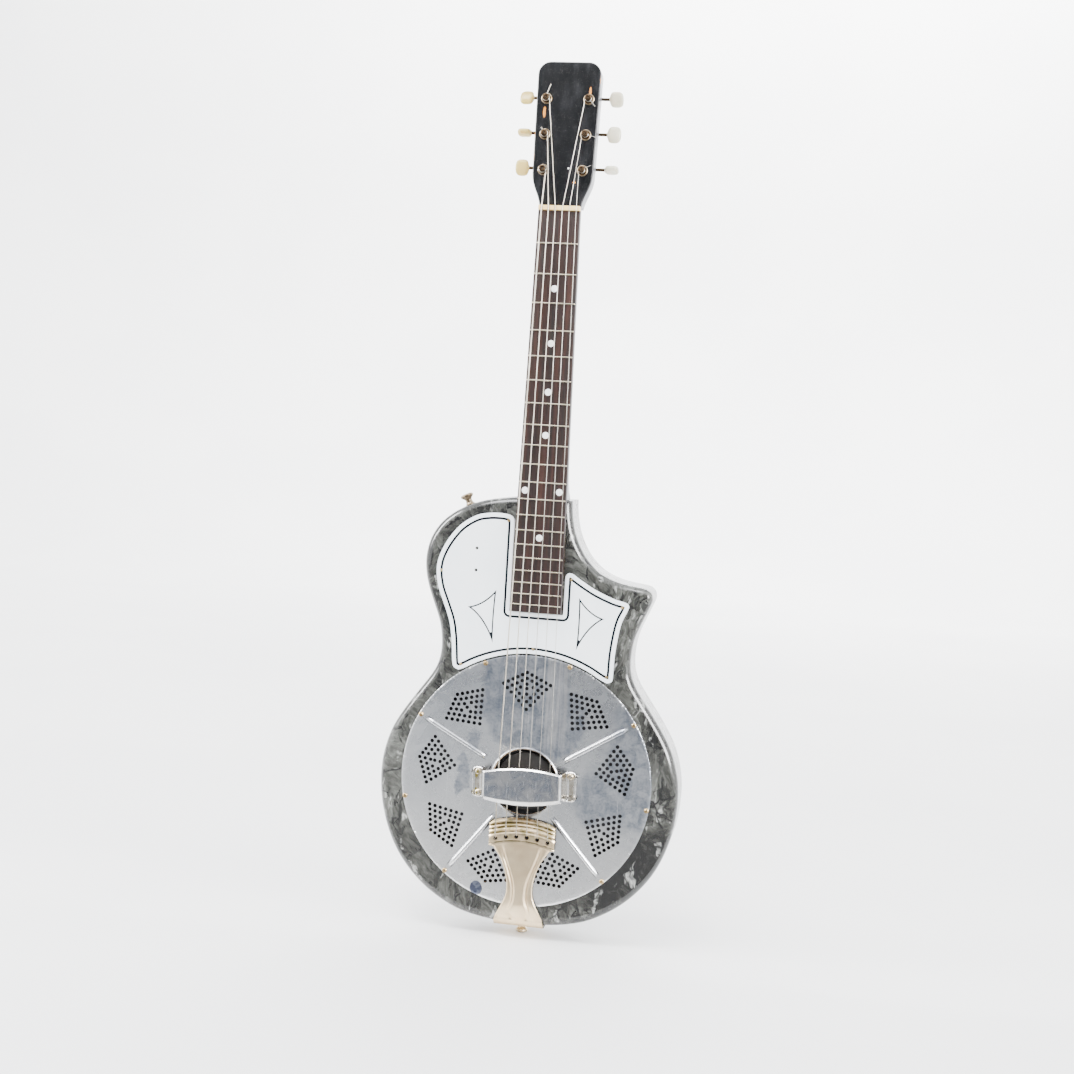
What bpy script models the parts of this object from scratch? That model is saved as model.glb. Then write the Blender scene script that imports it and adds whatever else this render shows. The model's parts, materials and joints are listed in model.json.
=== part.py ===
"""Resonator guitar: single cutaway body with a round cover plate over a spun cone, bolt-on neck,
worm gear tuners. Lengths are in millimetres and become metres where meshes are made.
Body parts are drawn from the bridge line: x to the treble side, y to the back, z towards the headstock.
Tuner parts are drawn in the headstock's own frame: x as before, y behind its face, z along it from the nut."""

import math

import bmesh
import bpy
from mathutils import Euler, Matrix, Vector

MM = 0.001

# Driving dimensions
SCALE_LENGTH = 558.8
BRIDGE_FROM_TAIL = 146.5
BODY_DEPTH = 50.0
FRONT_THICKNESS = 9.0
BACK_THICKNESS = 5.0
BAND_THICKNESS = 1.2
FRONT_EDGE_RADIUS = 9.0
BACK_EDGE_RADIUS = 3.0
NECK_JOINT = 280.0
GAP = 0.3

# The neck's pocket in the body and the tenon that fills it, each as two corners, and the bolt through them
NECK_POCKET = ((-20.3, -1.0, 221.7), (20.3, 38.3, 300.0))
NECK_TENON = ((-20.0, -1.0, 222.0), (20.0, 38.0, 281.0))
TONGUE_SHRINK = 0.6
BOLT_Z = 250.0
BOLT_HOLE_RADIUS = 3.3
STRAP_DEPTH = 25.0
END_BUTTON_HOLE_RADIUS = 2.4
SCREW_HOLE_RADIUS = 1.7
SCREW_SHANK_RADIUS = 1.25
RIM_SCREW_LENGTH = 10.0
REST_SCREW_LENGTH = 6.5

COVER_CENTRE_X = -1.4
COVER_CENTRE_Z = -0.9
COVER_TURN = 2.0
COVER_RADIUS = 125.8
COVER_RIM_HEIGHT = 1.3
COVER_DOME = 2.3
COVER_SHEET = 1.0
COVER_HOLE_RADIUS = 32.3
RIM_SCREW_CIRCLE = 123.6
RIM_SCREW_ANGLES = (20, 60, 100, 140, 180, -140, -100, -60, -20)
WELL_RADIUS = 119.5
WELL_LEDGE = 24.6
LOWER_WELL_RADIUS = 110.0
COVER_PROFILE_RADII = (118.0, 100.0, 76.0, 50.0)

# Turned parts as radius against height in front of the body's face
CONE_PROFILE = ((118.0, -23.3), (113.0, -22.9), (111.0, -20.5), (34.0, -7.3), (2.2, -7.3))
CONE_SHEET = 0.9
BISCUIT_PROFILE = ((0, -1.0), (28.4, -1.0), (29.4, -2.0), (29.4, -7.0), (1.9, -7.0), (1.9, -3.0), (0, -3.0))
BISCUIT_SCREW_PROFILE = (
    (0, -3.6), (1.4, -3.6), (1.4, -8.6), (3.8, -8.6), (3.8, -9.8), (2.6, -10.8), (0, -10.8),
)
BOLT_PROFILE = (
    (0, -52.6), (3.6, -52.6), (4.4, -51.8), (8.0, -51.4), (8.0, -50.3), (2.9, -50.3), (2.9, -32.0), (0, -32.0),
)

# Strap buttons as radius against distance from their seats
END_BUTTON_SEAT = 149.1
END_BUTTON_PROFILE = (
    (0, 10.4), (4.6, 10.4), (6.4, 9.0), (6.2, 7.4), (3.2, 5.0), (3.2, 2.4), (5.2, 0), (2.0, 0),
    (2.0, -17.0), (0, -17.0),
)
STRAP_BUTTON_PROFILE = (
    (0, 11.6), (4.8, 11.6), (6.6, 10.2), (6.4, 8.6), (3.2, 6.0), (3.2, 2.6), (5.4, 0), (0, 0),
)
STRAP_BUTTON_PLACE = (-77.9, 268.4)
STRAP_BUTTON_TURN = -26.0

BOARD_NUT_WIDTH = 40.8
BOARD_SPREAD = 0.02665
BOARD_TOP = 10.4
BOARD_THICKNESS = 6.0
BOARD_END = 168.5
FRET_COUNT = 20
FRET_HEIGHT = 1.1
FRET_HALF_WIDTH = 1.1
NUT_THICKNESS = 4.3
SADDLE_HALF_WIDTH = 28.5
SADDLE_BASE = 0.7
SADDLE_HALF_THICKNESS = 1.4
NOTCH_CLEARANCE = 0.45

HEAD_TILT = math.radians(4.0)
HEAD_FACE = 6.0
HEAD_THICKNESS = 18.0
POST_X = 19.95
POST_X_STEP = 0.73
POST_FIRST = 39.7
POST_SPACING = 34.6
GEAR_TEETH = 14
GEAR_PITCH_RADIUS = 4.68
WORM_PITCH_RADIUS = 2.4
GEAR_DEPTH = 23.5
GEAR_HALF_THICKNESS = 1.5
GEAR_TOOTH = ((-0.62, 3.75), (-0.26, 5.2), (0.26, 5.2), (0.62, 3.75))
WORM_HALF_LENGTH = 3.8
WORM_ROOT = 1.55
WORM_TIP = 2.95
SHAFT_RADIUS = 1.5
SHAFT_CLEARANCE = 0.38
SHAFT_INNER_END = -7.6
POST_HOLE_RADIUS = 3.5
POST_PROFILE = (
    (0, -26.0), (2.8, -26.0), (2.9, 1.6), (2.6, 2.4), (2.6, 5.4), (2.9, 6.2), (2.9, 7.2), (2.3, 7.8), (0, 7.8),
)
POST_WAIST = 2.6
KNOB_START = 37.6

# Tuner knob: distance along its shaft, half-breadth and half-thickness
KNOB_STATIONS = (
    (0.0, 2.6, 2.4), (1.4, 4.0, 2.6), (2.6, 5.8, 3.1), (4.6, 7.4, 3.6), (7.4, 8.0, 3.7), (10.2, 7.4, 3.5),
    (12.2, 5.6, 2.9), (13.6, 2.0, 1.4),
)
KNOB_SIDES = 12
KNOB_TURNS = {1: 82.0, 2: 4.0, 3: 38.0, 4: -28.0, 5: 86.0, 6: 8.0}

STRING_RADII = {1: 0.22, 2: 0.26, 3: 0.33, 4: 0.42, 5: 0.53, 6: 0.66}
NUT_SPACING = 6.8
BRIDGE_SPACING = 10.3
TAIL_SPACING = 10.5
STRING_AT_NUT = 12.4
STRING_AT_SADDLE = 17.0
STRING_ON_POST = 3.8

# Tuner plates and their bearing lugs
PLATE_INNER = 11.6
PLATE_OUTER = 28.4
PLATE_CORNER = 2.0
PLATE_SHEET = 1.2
PLATE_BELOW_FIRST_POST = 8.0
PLATE_ABOVE_LAST_POST = 17.0
LUG_OFFSET = 6.1
LUG_HALF_THICKNESS = 0.75
LUG_HALF_WIDTH = 3.3

# The side of the body from the treble end of the neck joint, round the cutaway and tail, to its bass end
BODY_SIDE = (
    (28.2, 280.0), (29.2, 266.0), (33.4, 247.0), (43.8, 226.5), (59.8, 211.0), (79.0, 203.0),
    (97.0, 200.0), (106.5, 198.4), (112.0, 194.0), (113.2, 187.5), (110.8, 180.5), (105.6, 168.0),
    (98.5, 150.0), (95.6, 131.0), (97.0, 113.0), (104.2, 97.0), (122.5, 71.0), (140.0, 42.4),
    (149.2, 12.0), (150.3, -17.0), (146.0, -45.0), (135.5, -74.0), (120.0, -98.0), (97.0, -120.0),
    (66.0, -137.3), (33.0, -144.6), (0.0, -146.5), (-33.0, -144.6), (-66.0, -137.3), (-97.0, -120.0),
    (-120.0, -98.0), (-135.5, -74.0), (-146.0, -45.0), (-150.3, -17.0), (-149.2, 12.0), (-140.0, 42.4),
    (-122.5, 71.0), (-104.2, 97.0), (-97.0, 113.0), (-95.6, 131.0), (-98.5, 150.0), (-105.3, 168.0),
    (-112.4, 187.0), (-116.0, 204.0), (-115.7, 220.0), (-111.0, 236.5), (-101.0, 251.5), (-86.8, 263.0),
    (-70.0, 271.3), (-50.0, 277.0), (-28.0, 280.0),
)

# The pickguard in two runs, above and beside the cover plate's arc
GUARD_BASS = (
    (-26.8, 254.0), (-27.8, 259.0), (-32.0, 262.2), (-42.1, 263.4), (-54.0, 262.6), (-66.0, 259.4),
    (-80.9, 249.3), (-92.7, 234.2), (-100.6, 217.6), (-102.8, 203.0), (-99.9, 186.0), (-92.9, 168.5),
    (-86.6, 151.5), (-83.4, 132.0), (-81.8, 113.5), (-79.8, 107.3), (-74.8, 104.9),
)
GUARD_TREBLE = (
    (74.0, 103.8), (78.6, 105.6), (79.7, 111.0), (80.1, 129.0), (81.8, 146.7), (85.0, 164.0),
    (90.2, 176.5), (91.0, 181.2), (87.6, 184.2), (76.4, 186.9), (58.3, 194.1), (41.9, 203.4),
    (34.2, 208.3), (29.5, 208.8), (26.9, 205.0), (26.7, 198.0),
)
GUARD_ARC_RADIUS = 127.6
GUARD_THICKNESS = 1.8
GUARD_NOTCH_BASE = 167.4

# The headstock's treble edge from the nut to the top, half-width against distance from the nut
HEAD_SIDE = ((20.6, 5.0), (21.4, 9.0), (23.4, 15.0), (26.4, 22.0), (28.7, 29.0), (29.6, 36.0))
HEAD_TOP_HALF_WIDTH = 30.9
HEAD_LENGTH = 145.3
HEAD_CORNER = 12.5

# Neck sections: distance above the bridge, depth behind the board, squareness of the outline
NECK_SECTIONS = (
    (575.0, 16.4, 2.2), (556.0, 15.6, 2.0), (530.0, 14.6, 2.0), (440.0, 15.2, 2.0), (350.0, 16.5, 2.0),
    (322.0, 17.6, 2.1), (305.0, 21.5, 2.4), (293.0, 30.0, 2.8), (285.0, 40.0, 3.4), (280.3, 44.6, 4.0),
)

# The tailpiece's outer surface from its top edge down and over the tail, and its half-width there
TAIL_SURFACE = (
    (-36.3, -5.9, 29.0), (-38.0, -7.9, 31.5), (-40.5, -9.2, 33.0), (-43.0, -8.2, 33.0), (-45.5, -9.2, 33.0),
    (-48.0, -8.2, 33.0), (-50.5, -9.2, 33.0), (-53.0, -8.2, 33.0), (-61.0, -8.0, 32.6), (-63.6, -7.5, 28.5),
    (-70.0, -6.4, 25.4), (-80.0, -5.6, 20.2), (-90.0, -5.3, 16.2), (-100.0, -5.1, 13.8), (-108.0, -5.0, 13.0),
    (-116.0, -5.0, 13.8), (-124.0, -5.0, 16.8), (-131.0, -3.9, 20.2), (-138.0, -2.3, 23.6),
    (-143.3, -0.7, 24.9), (-147.2, 3.4, 25.0), (-148.8, 9.0, 25.0), (-148.8, 34.0, 25.0),
)
TAIL_SHEET = 1.4
TAIL_CROWN = 0.0052
TAIL_CROWN_FADE = (-80.0, 18.0)
TAIL_HOLE_LINE = -55.0
TAIL_HOLE_RADIUS = 1.9

# The hand rest along x: distance from its middle, height, half-length across
REST_STATIONS = (
    (52.4, 4.9, 12.2), (50.6, 4.9, 14.6), (46.0, 4.9, 15.0), (42.4, 4.9, 14.4), (40.6, 12.0, 14.2),
    (39.4, 19.6, 14.2), (37.4, 22.0, 14.4), (24.0, 22.0, 16.9), (10.0, 22.0, 18.3), (0.0, 22.0, 18.6),
)
REST_SHARES = (-1.0, -0.74, -0.35, 0.0, 0.4, 0.86, 1.0)
REST_MIDDLE_Z = -2.0
REST_SHEET = 1.2
REST_FOOT_X = 46.3
REST_SCREW_OFFSET = 10.5
REST_TOP_BEVEL = 2.0
REST_TAIL_BEVEL = 4.0


def clear_scene():
    for item in list(bpy.data.objects):
        bpy.data.objects.remove(item, do_unlink=True)


def material(name, colour, roughness, metallic=0.0):
    made = bpy.data.materials.new(name)
    made.use_nodes = True
    shader = made.node_tree.nodes["Principled BSDF"]
    shader.inputs["Base Color"].default_value = (*colour, 1.0)
    shader.inputs["Roughness"].default_value = roughness
    shader.inputs["Metallic"].default_value = metallic
    return made


def bridge_place(x=0.0, y=0.0, z=0.0):
    """World place, in metres, of a point drawn from the bridge line."""
    return Vector((x, y, z + BRIDGE_FROM_TAIL)) * MM


def solid(name, points, faces, finish, place=None, parent=None, sharp=35.0):
    """One closed mesh object from points in millimetres, faces turned outwards."""
    mesh = bpy.data.meshes.new(name)
    mesh.from_pydata([Vector(point) * MM for point in points], [], faces)
    work = bmesh.new()
    work.from_mesh(mesh)
    bmesh.ops.recalc_face_normals(work, faces=work.faces)
    work.to_mesh(mesh)
    work.free()
    mesh.shade_smooth()
    mesh.set_sharp_from_angle(angle=math.radians(sharp))
    made = bpy.data.objects.new(name, mesh)
    bpy.context.collection.objects.link(made)
    if finish:
        mesh.materials.append(finish)
    if parent:
        made.parent = parent
    made.location = bridge_place() if place is None else place
    return made


def smooth_run(points, steps=4):
    """Catmull-Rom curve through the points of an open run."""
    padded = [points[0], *points, points[-1]]
    run = []
    for index in range(len(points) - 1):
        before, start, end, after = (Vector(point) for point in padded[index:index + 4])
        for step in range(steps):
            t = step / steps
            run.append(
                0.5 * (2 * start + (end - before) * t + (2 * before - 5 * start + 4 * end - after) * t * t
                       + (3 * start - before - 3 * end + after) * t ** 3)
            )
    run.append(Vector(points[-1]))
    return [(point.x, point.y) for point in run]


def inset(outline, distance):
    """The outline moved inwards; it runs clockwise, seen with x to the right and z up."""
    moved = []
    for index, point in enumerate(outline):
        here = Vector(point)
        along_in = (here - Vector(outline[index - 1])).normalized()
        along_out = (Vector(outline[(index + 1) % len(outline)]) - here).normalized()
        normal_in = Vector((along_in.y, -along_in.x))
        normal_out = Vector((along_out.y, -along_out.x))
        shift = (normal_in + normal_out) / max(1.0 + normal_in.dot(normal_out), 0.35)
        moved.append(tuple(here + shift * distance))
    return moved


def stack(name, layers, finish, **options):
    """A plate made of outlines at successive depths, each a pair of outline and y."""
    count = len(layers[0][0])
    points = [(x, y, z) for outline, y in layers for x, z in outline]
    faces = [list(range(count)), list(range(len(points) - count, len(points)))]
    for layer in range(len(layers) - 1):
        for index in range(count):
            after = (index + 1) % count
            near, far = layer * count, (layer + 1) * count
            faces.append((near + index, near + after, far + after, far + index))
    return solid(name, points, faces, finish, **options)


def turned(name, profile, finish, segments=24, axis="front", **options):
    """A body of revolution from (radius, distance) pairs. Where no point is on the axis it is a ring."""
    points, rings = [], []
    for radius, along in profile:
        count = segments if radius > 0 else 1
        rings.append([len(points) + index for index in range(count)])
        for index in range(count):
            angle = 2 * math.pi * index / segments
            across, up = radius * math.cos(angle), radius * math.sin(angle)
            points.append({"front": (across, -along, up), "side": (along, across, up),
                           "up": (across, up, along)}[axis])
    pairs = list(zip(rings, rings[1:]))
    if profile[0][0] > 0:
        pairs.append((rings[-1], rings[0]))
    faces = []
    for first, second in pairs:
        for index in range(segments):
            after = (index + 1) % segments
            corners = [first[index % len(first)], first[after % len(first)],
                       second[after % len(second)], second[index % len(second)]]
            faces.append(list(dict.fromkeys(corners)))
    return solid(name, points, faces, finish, **options)


def loft(name, sections, finish, **options):
    """A body through closed sections with equal point counts, closed by flat ends."""
    count = len(sections[0])
    points = [point for section in sections for point in section]
    faces = [list(range(count)), list(range(len(points) - count, len(points)))]
    for row in range(len(sections) - 1):
        for index in range(count):
            after = (index + 1) % count
            faces.append((row * count + index, row * count + after,
                          (row + 1) * count + after, (row + 1) * count + index))
    return solid(name, points, faces, finish, **options)


def box(name, low, high, finish=None, **options):
    (x0, y0, z0), (x1, y1, z1) = low, high
    outline = [(x0, z0), (x0, z1), (x1, z1), (x1, z0)]
    return stack(name, [(outline, y0), (outline, y1)], finish, **options)


def sheet(name, rows, thickness, finish):
    """Pressed sheet metal: a grid of surface points given thickness towards the body."""
    across = len(rows[0])
    points = [point for row in rows for point in row]
    faces = []
    for row in range(len(rows) - 1):
        for column in range(across - 1):
            corner = row * across + column
            faces.append((corner, corner + 1, corner + across + 1, corner + across))
    made = solid(name, points, faces, finish)
    middle = made.data.polygons[len(faces) // 2]
    if middle.normal.y > 0:
        made.data.flip_normals()
    thicken = made.modifiers.new("sheet", "SOLIDIFY")
    thicken.thickness = thickness * MM
    thicken.offset = -1.0
    thicken.use_even_offset = True
    return made


def hidden(tool):
    tool.hide_render = True
    tool.display_type = "WIRE"
    return tool


def combine(target, tool, operation="DIFFERENCE"):
    change = target.modifiers.new(tool.name, "BOOLEAN")
    change.operation = operation
    change.solver = "EXACT"
    change.object = hidden(tool)


def joined_tool(name, pieces, parent=None, place=None):
    """Several simple tools as one object, each given as points and faces."""
    points, faces = [], []
    for piece_points, piece_faces in pieces:
        base = len(points)
        points += piece_points
        faces += [[base + corner for corner in face] for face in piece_faces]
    return hidden(solid(name, points, faces, None, parent=parent, place=place))


def rod(start, end, radius, sides=10):
    """Points and faces of a round rod between two points."""
    start, end = Vector(start), Vector(end)
    turn = (end - start).to_track_quat("Z", "Y").to_matrix()
    points = []
    for centre in (start, end):
        for index in range(sides):
            angle = 2 * math.pi * (index + 0.5) / sides
            spoke = Vector((radius * math.cos(angle), radius * math.sin(angle), 0))
            points.append(tuple(centre + turn @ spoke))
    faces = [list(range(sides)), list(range(sides, 2 * sides))]
    for index in range(sides):
        after = (index + 1) % sides
        faces.append([index, after, sides + after, sides + index])
    return points, faces


def block(low, high):
    """Points and faces of a box between two corners."""
    points = [(x, y, z) for x in (low[0], high[0]) for y in (low[1], high[1]) for z in (low[2], high[2])]
    return points, [[0, 1, 3, 2], [4, 6, 7, 5], [0, 4, 5, 1], [2, 3, 7, 6], [0, 2, 6, 4], [1, 5, 7, 3]]


def tube(name, route, radius, finish, sides=6):
    """Round wire along a route of points, square across each bend."""
    sections = []
    for index, point in enumerate(route):
        here = Vector(point)
        arriving = (here - Vector(route[index - 1])).normalized() if index else None
        leaving = (Vector(route[index + 1]) - here).normalized() if index + 1 < len(route) else None
        along = ((arriving or leaving) + (leaving or arriving)).normalized()
        side = Vector((1, 0, 0)) - along * along.x
        side.normalize()
        up = along.cross(side)
        stretch = 1.0 / max(along.dot(leaving or arriving), 0.7)
        section = []
        for corner in range(sides):
            angle = 2 * math.pi * corner / sides
            across = side * radius * math.cos(angle)
            section.append(tuple(here + across + up * radius * stretch * math.sin(angle)))
        sections.append(section)
    return loft(name, sections, finish)


def circle_point(angle_degrees, radius):
    """A point on the cover plate's circle, the angle measured from the neck towards the treble side."""
    angle = math.radians(angle_degrees - COVER_TURN)
    return COVER_CENTRE_X + radius * math.sin(angle), COVER_CENTRE_Z + radius * math.cos(angle)


def cover_height(radius):
    share = max(1.0 - (radius / COVER_RADIUS) ** 2, 0.0)
    return COVER_RIM_HEIGHT + COVER_DOME * share ** 0.9


def board_half_width(z):
    return (BOARD_NUT_WIDTH + (SCALE_LENGTH - z) * BOARD_SPREAD) / 2


def string_x(number, spacing):
    return (3.5 - number) * spacing


def tail_hole(number):
    x = string_x(number, TAIL_SPACING)
    return x, TAIL_HOLE_LINE - TAIL_CROWN * x * x


def post_place(number):
    """Side and distance from the nut of a string's post: 6, 5, 4 up the bass side, 1, 2, 3 up the treble."""
    row = number - 1 if number <= 3 else 6 - number
    side = 1 if number <= 3 else -1
    return side * (POST_X + POST_X_STEP * (row - 1)), POST_FIRST + POST_SPACING * row


def head_to_bridge(x, back, up):
    """A point of the headstock's frame in the bridge line's frame."""
    y = -HEAD_FACE + up * math.sin(HEAD_TILT) + back * math.cos(HEAD_TILT)
    z = SCALE_LENGTH + up * math.cos(HEAD_TILT) - back * math.sin(HEAD_TILT)
    return x, y, z


def build_body(finishes, screw_holes):
    """Front, back, side strip and the wooden frame inside them. Gives the bolt's hole to the neck."""
    outline = smooth_run(BODY_SIDE, 2)
    band_inside = inset(outline, BAND_THICKNESS)
    core = inset(outline, BAND_THICKNESS + GAP)
    band_front = FRONT_THICKNESS + GAP
    band_back = BODY_DEPTH - BACK_THICKNESS - GAP
    bends = (0, 30, 60, 90)

    def rounded(radius, face, edge):
        layers = []
        for degrees in bends:
            bend = math.radians(degrees)
            depth = face + (edge - face) * (1 - math.cos(bend))
            layers.append((inset(outline, radius * (1 - math.sin(bend))), depth))
        return layers

    front = rounded(FRONT_EDGE_RADIUS, 0.0, FRONT_EDGE_RADIUS * 0.94)
    front.append((outline, FRONT_THICKNESS))
    front_cover = stack("front_cover", front, finishes["pearloid"])
    back = rounded(BACK_EDGE_RADIUS, BODY_DEPTH, BODY_DEPTH - BACK_EDGE_RADIUS)
    back.append((outline, BODY_DEPTH - BACK_THICKNESS))
    back_cover = stack("back_cover", back, finishes["pearloid"])
    side_band = stack("side_band", [(outline, band_front), (outline, band_back)], finishes["side_band"])
    combine(side_band, stack("band_hollow", [(band_inside, 0.0), (band_inside, BODY_DEPTH)], None))
    body_frame = stack("body_frame", [(core, band_front), (core, band_back)], finishes["wood"])

    def well(radius, start, end):
        centre = (COVER_CENTRE_X, start, COVER_CENTRE_Z)
        far = (COVER_CENTRE_X, end, COVER_CENTRE_Z)
        return rod(centre, far, radius, 44)

    combine(front_cover, joined_tool("front_well", [well(WELL_RADIUS, -1.0, FRONT_THICKNESS + 1.0)]))
    combine(body_frame, joined_tool("cone_well", [well(WELL_RADIUS, 0.0, WELL_LEDGE)]))
    combine(body_frame, joined_tool("lower_well", [well(LOWER_WELL_RADIUS, WELL_LEDGE - 1.0, BODY_DEPTH)]))
    pocket = joined_tool("neck_pocket", [block(*NECK_POCKET)])
    for target in (front_cover, side_band, body_frame):
        combine(target, pocket)
    for target in (front_cover, body_frame):
        combine(target, screw_holes)
    bolt_hole = joined_tool("bolt_hole", [rod((0, 30, BOLT_Z), (0, 60, BOLT_Z), BOLT_HOLE_RADIUS)])
    combine(body_frame, bolt_hole)
    combine(back_cover, bolt_hole)
    start, end = (0, STRAP_DEPTH, -155), (0, STRAP_DEPTH, -128)
    button_hole = joined_tool("button_hole", [rod(start, end, END_BUTTON_HOLE_RADIUS)])
    combine(side_band, button_hole)
    combine(body_frame, button_hole)
    return bolt_hole


def build_neck(finishes, head_frame, bolt_hole):
    top = GAP - (BOARD_TOP - BOARD_THICKNESS)
    corners = 13
    sections = []
    for z, depth, squareness in NECK_SECTIONS:
        half = board_half_width(z)
        section = [(half, top, z)]
        for corner in range(corners):
            angle = math.pi * corner / (corners - 1)
            across = math.copysign(abs(math.cos(angle)) ** (2 / squareness), math.cos(angle))
            section.append((half * across, top + 2.0 + (depth - 2.0) * math.sin(angle) ** (2 / squareness), z))
        section.append((-half, top, z))
        sections.append(section)
    neck = loft("neck", sections, finishes["neck"])
    edge = smooth_run(HEAD_SIDE, 2)
    for degrees in range(0, 91, 15):
        bend = math.radians(degrees)
        edge.append((HEAD_TOP_HALF_WIDTH - HEAD_CORNER * (1 - math.cos(bend)),
                     HEAD_LENGTH - HEAD_CORNER * (1 - math.sin(bend))))
    outline = [(-x, z) for x, z in edge] + edge[::-1]
    head = stack("head_blank", [(outline, 0.0), (outline, HEAD_THICKNESS)], None,
                 place=(0, 0, 0), parent=head_frame)
    combine(neck, head, "UNION")
    tongue_ends = (BOARD_END + TONGUE_SHRINK, NECK_JOINT + 1.0)
    tongue = [(board_half_width(z) - TONGUE_SHRINK, z) for z in tongue_ends]
    outline = [(-x, z) for x, z in tongue] + tongue[::-1]
    combine(neck, stack("tongue", [(outline, top), (outline, -GAP)], None), "UNION")
    combine(neck, joined_tool("tenon", [block(*NECK_TENON)]), "UNION")
    combine(neck, bolt_hole)
    post_holes = []
    for number in range(1, 7):
        x, up = post_place(number)
        post_holes.append(rod((x, -3, up), (x, HEAD_THICKNESS + 3, up), POST_HOLE_RADIUS))
    combine(neck, joined_tool("post_holes", post_holes, head_frame, (0, 0, 0)))


def build_board(finishes):
    """The board with its frets, drawn from the side and widened along its taper."""
    side = [(SCALE_LENGTH, -BOARD_TOP)]
    for fret in range(1, FRET_COUNT + 1):
        z = SCALE_LENGTH / 2 ** (fret / 12)
        side += [(z + FRET_HALF_WIDTH, -BOARD_TOP), (z + FRET_HALF_WIDTH / 2, -BOARD_TOP - FRET_HEIGHT),
                 (z - FRET_HALF_WIDTH / 2, -BOARD_TOP - FRET_HEIGHT), (z - FRET_HALF_WIDTH, -BOARD_TOP)]
    under = BOARD_THICKNESS - BOARD_TOP
    side += [(BOARD_END, -BOARD_TOP), (BOARD_END, under), (SCALE_LENGTH, under)]
    sections = [[(sign * board_half_width(z), y, z) for z, y in side] for sign in (-1, 1)]
    loft("fingerboard", sections, finishes["rosewood"])


def notched(name, half_width, base, spacing, string_depth, low, high, finish):
    """A string rest standing across the strings, notched under each of them."""
    crest = string_depth - GAP
    outline = [(-half_width, base), (-half_width, crest)]
    for number in range(6, 0, -1):
        radius = STRING_RADII[number]
        x = string_x(number, spacing)
        floor = string_depth + radius + GAP
        half = radius + NOTCH_CLEARANCE
        outline += [(x - half, crest), (x - half, floor), (x + half, floor), (x + half, crest)]
    outline += [(half_width, crest), (half_width, base)]
    sections = [[(x, y, z) for x, y in outline] for z in (low, high)]
    loft(name, sections, finish)


def build_nut_and_saddle(finishes):
    start = SCALE_LENGTH + GAP
    notched("nut", board_half_width(start), BOARD_THICKNESS - BOARD_TOP, NUT_SPACING, -STRING_AT_NUT,
            start, start + NUT_THICKNESS, finishes["bone"])
    notched("saddle", SADDLE_HALF_WIDTH, SADDLE_BASE, BRIDGE_SPACING, -STRING_AT_SADDLE,
            -SADDLE_HALF_THICKNESS, SADDLE_HALF_THICKNESS, finishes["maple"])


def build_pickguard(finishes):
    arc = []
    for degrees in range(-32, 33, 4):
        angle = math.radians(degrees)
        arc.append((COVER_CENTRE_X + GUARD_ARC_RADIUS * math.sin(angle),
                    COVER_CENTRE_Z + GUARD_ARC_RADIUS * math.cos(angle)))
    outline = smooth_run(GUARD_BASS, 3) + arc + smooth_run(GUARD_TREBLE, 3)
    outline += [(26.7, GUARD_NOTCH_BASE), (-26.8, GUARD_NOTCH_BASE)]
    outline.reverse()
    front = -GAP - GUARD_THICKNESS
    stack("pickguard", [(inset(outline, 0.4), front), (outline, front + 0.4), (outline, -GAP)],
          finishes["white_plastic"])


def build_resonator(finishes, screw_holes, rest_holes):
    centre = bridge_place(COVER_CENTRE_X, 0, COVER_CENTRE_Z)
    radii = (COVER_RADIUS, *COVER_PROFILE_RADII, COVER_HOLE_RADIUS)
    front = [(radius, cover_height(radius)) for radius in radii]
    back = [(radius, height - COVER_SHEET) for radius, height in reversed(front)]
    cover = turned("coverplate", front + back, finishes["cover"], 52, place=centre)
    combine(cover, screw_holes)
    combine(cover, rest_holes)
    cone_back = [(radius, height - CONE_SHEET) for radius, height in reversed(CONE_PROFILE)]
    turned("cone", [*CONE_PROFILE, *cone_back], finishes["cone"], 40, place=centre)
    turned("biscuit", BISCUIT_PROFILE, finishes["dark_wood"], 36, place=centre)
    turned("biscuit_screw", BISCUIT_SCREW_PROFILE, finishes["screw"], 12, place=centre)


def round_screw(name, x, z, seat, length, finish):
    """Round-headed screw seen from the front, its head resting at the height called seat."""
    foot = seat - length
    profile = [(0, seat + 1.5), (2.2, seat + 1.1), (3.0, seat), (SCREW_SHANK_RADIUS, seat),
               (SCREW_SHANK_RADIUS, foot), (0, foot)]
    turned(name, profile, finish, 8, place=bridge_place(x, 0, z))


def rest_screw_places():
    places = []
    for foot in (-REST_FOOT_X, REST_FOOT_X):
        for offset in (REST_SCREW_OFFSET, -REST_SCREW_OFFSET):
            places.append(rest_point(foot, REST_MIDDLE_Z + offset))
    return places


def rest_point(x, z):
    """The hand rest sits square with the cover plate, which is turned a little."""
    turn = math.radians(COVER_TURN)
    return (COVER_CENTRE_X + x * math.cos(turn) - z * math.sin(turn),
            COVER_CENTRE_Z + x * math.sin(turn) + z * math.cos(turn))


def screw_hole_tool():
    rods = []
    for angle in RIM_SCREW_ANGLES:
        x, z = circle_point(angle, RIM_SCREW_CIRCLE)
        rods.append(rod((x, -6, z), (x, 14, z), SCREW_HOLE_RADIUS, 8))
    return joined_tool("rim_screw_holes", rods)


def rest_hole_tool():
    rods = [rod((x, -8, z), (x, 3, z), SCREW_HOLE_RADIUS, 8) for x, z in rest_screw_places()]
    return joined_tool("rest_screw_holes", rods)


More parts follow.
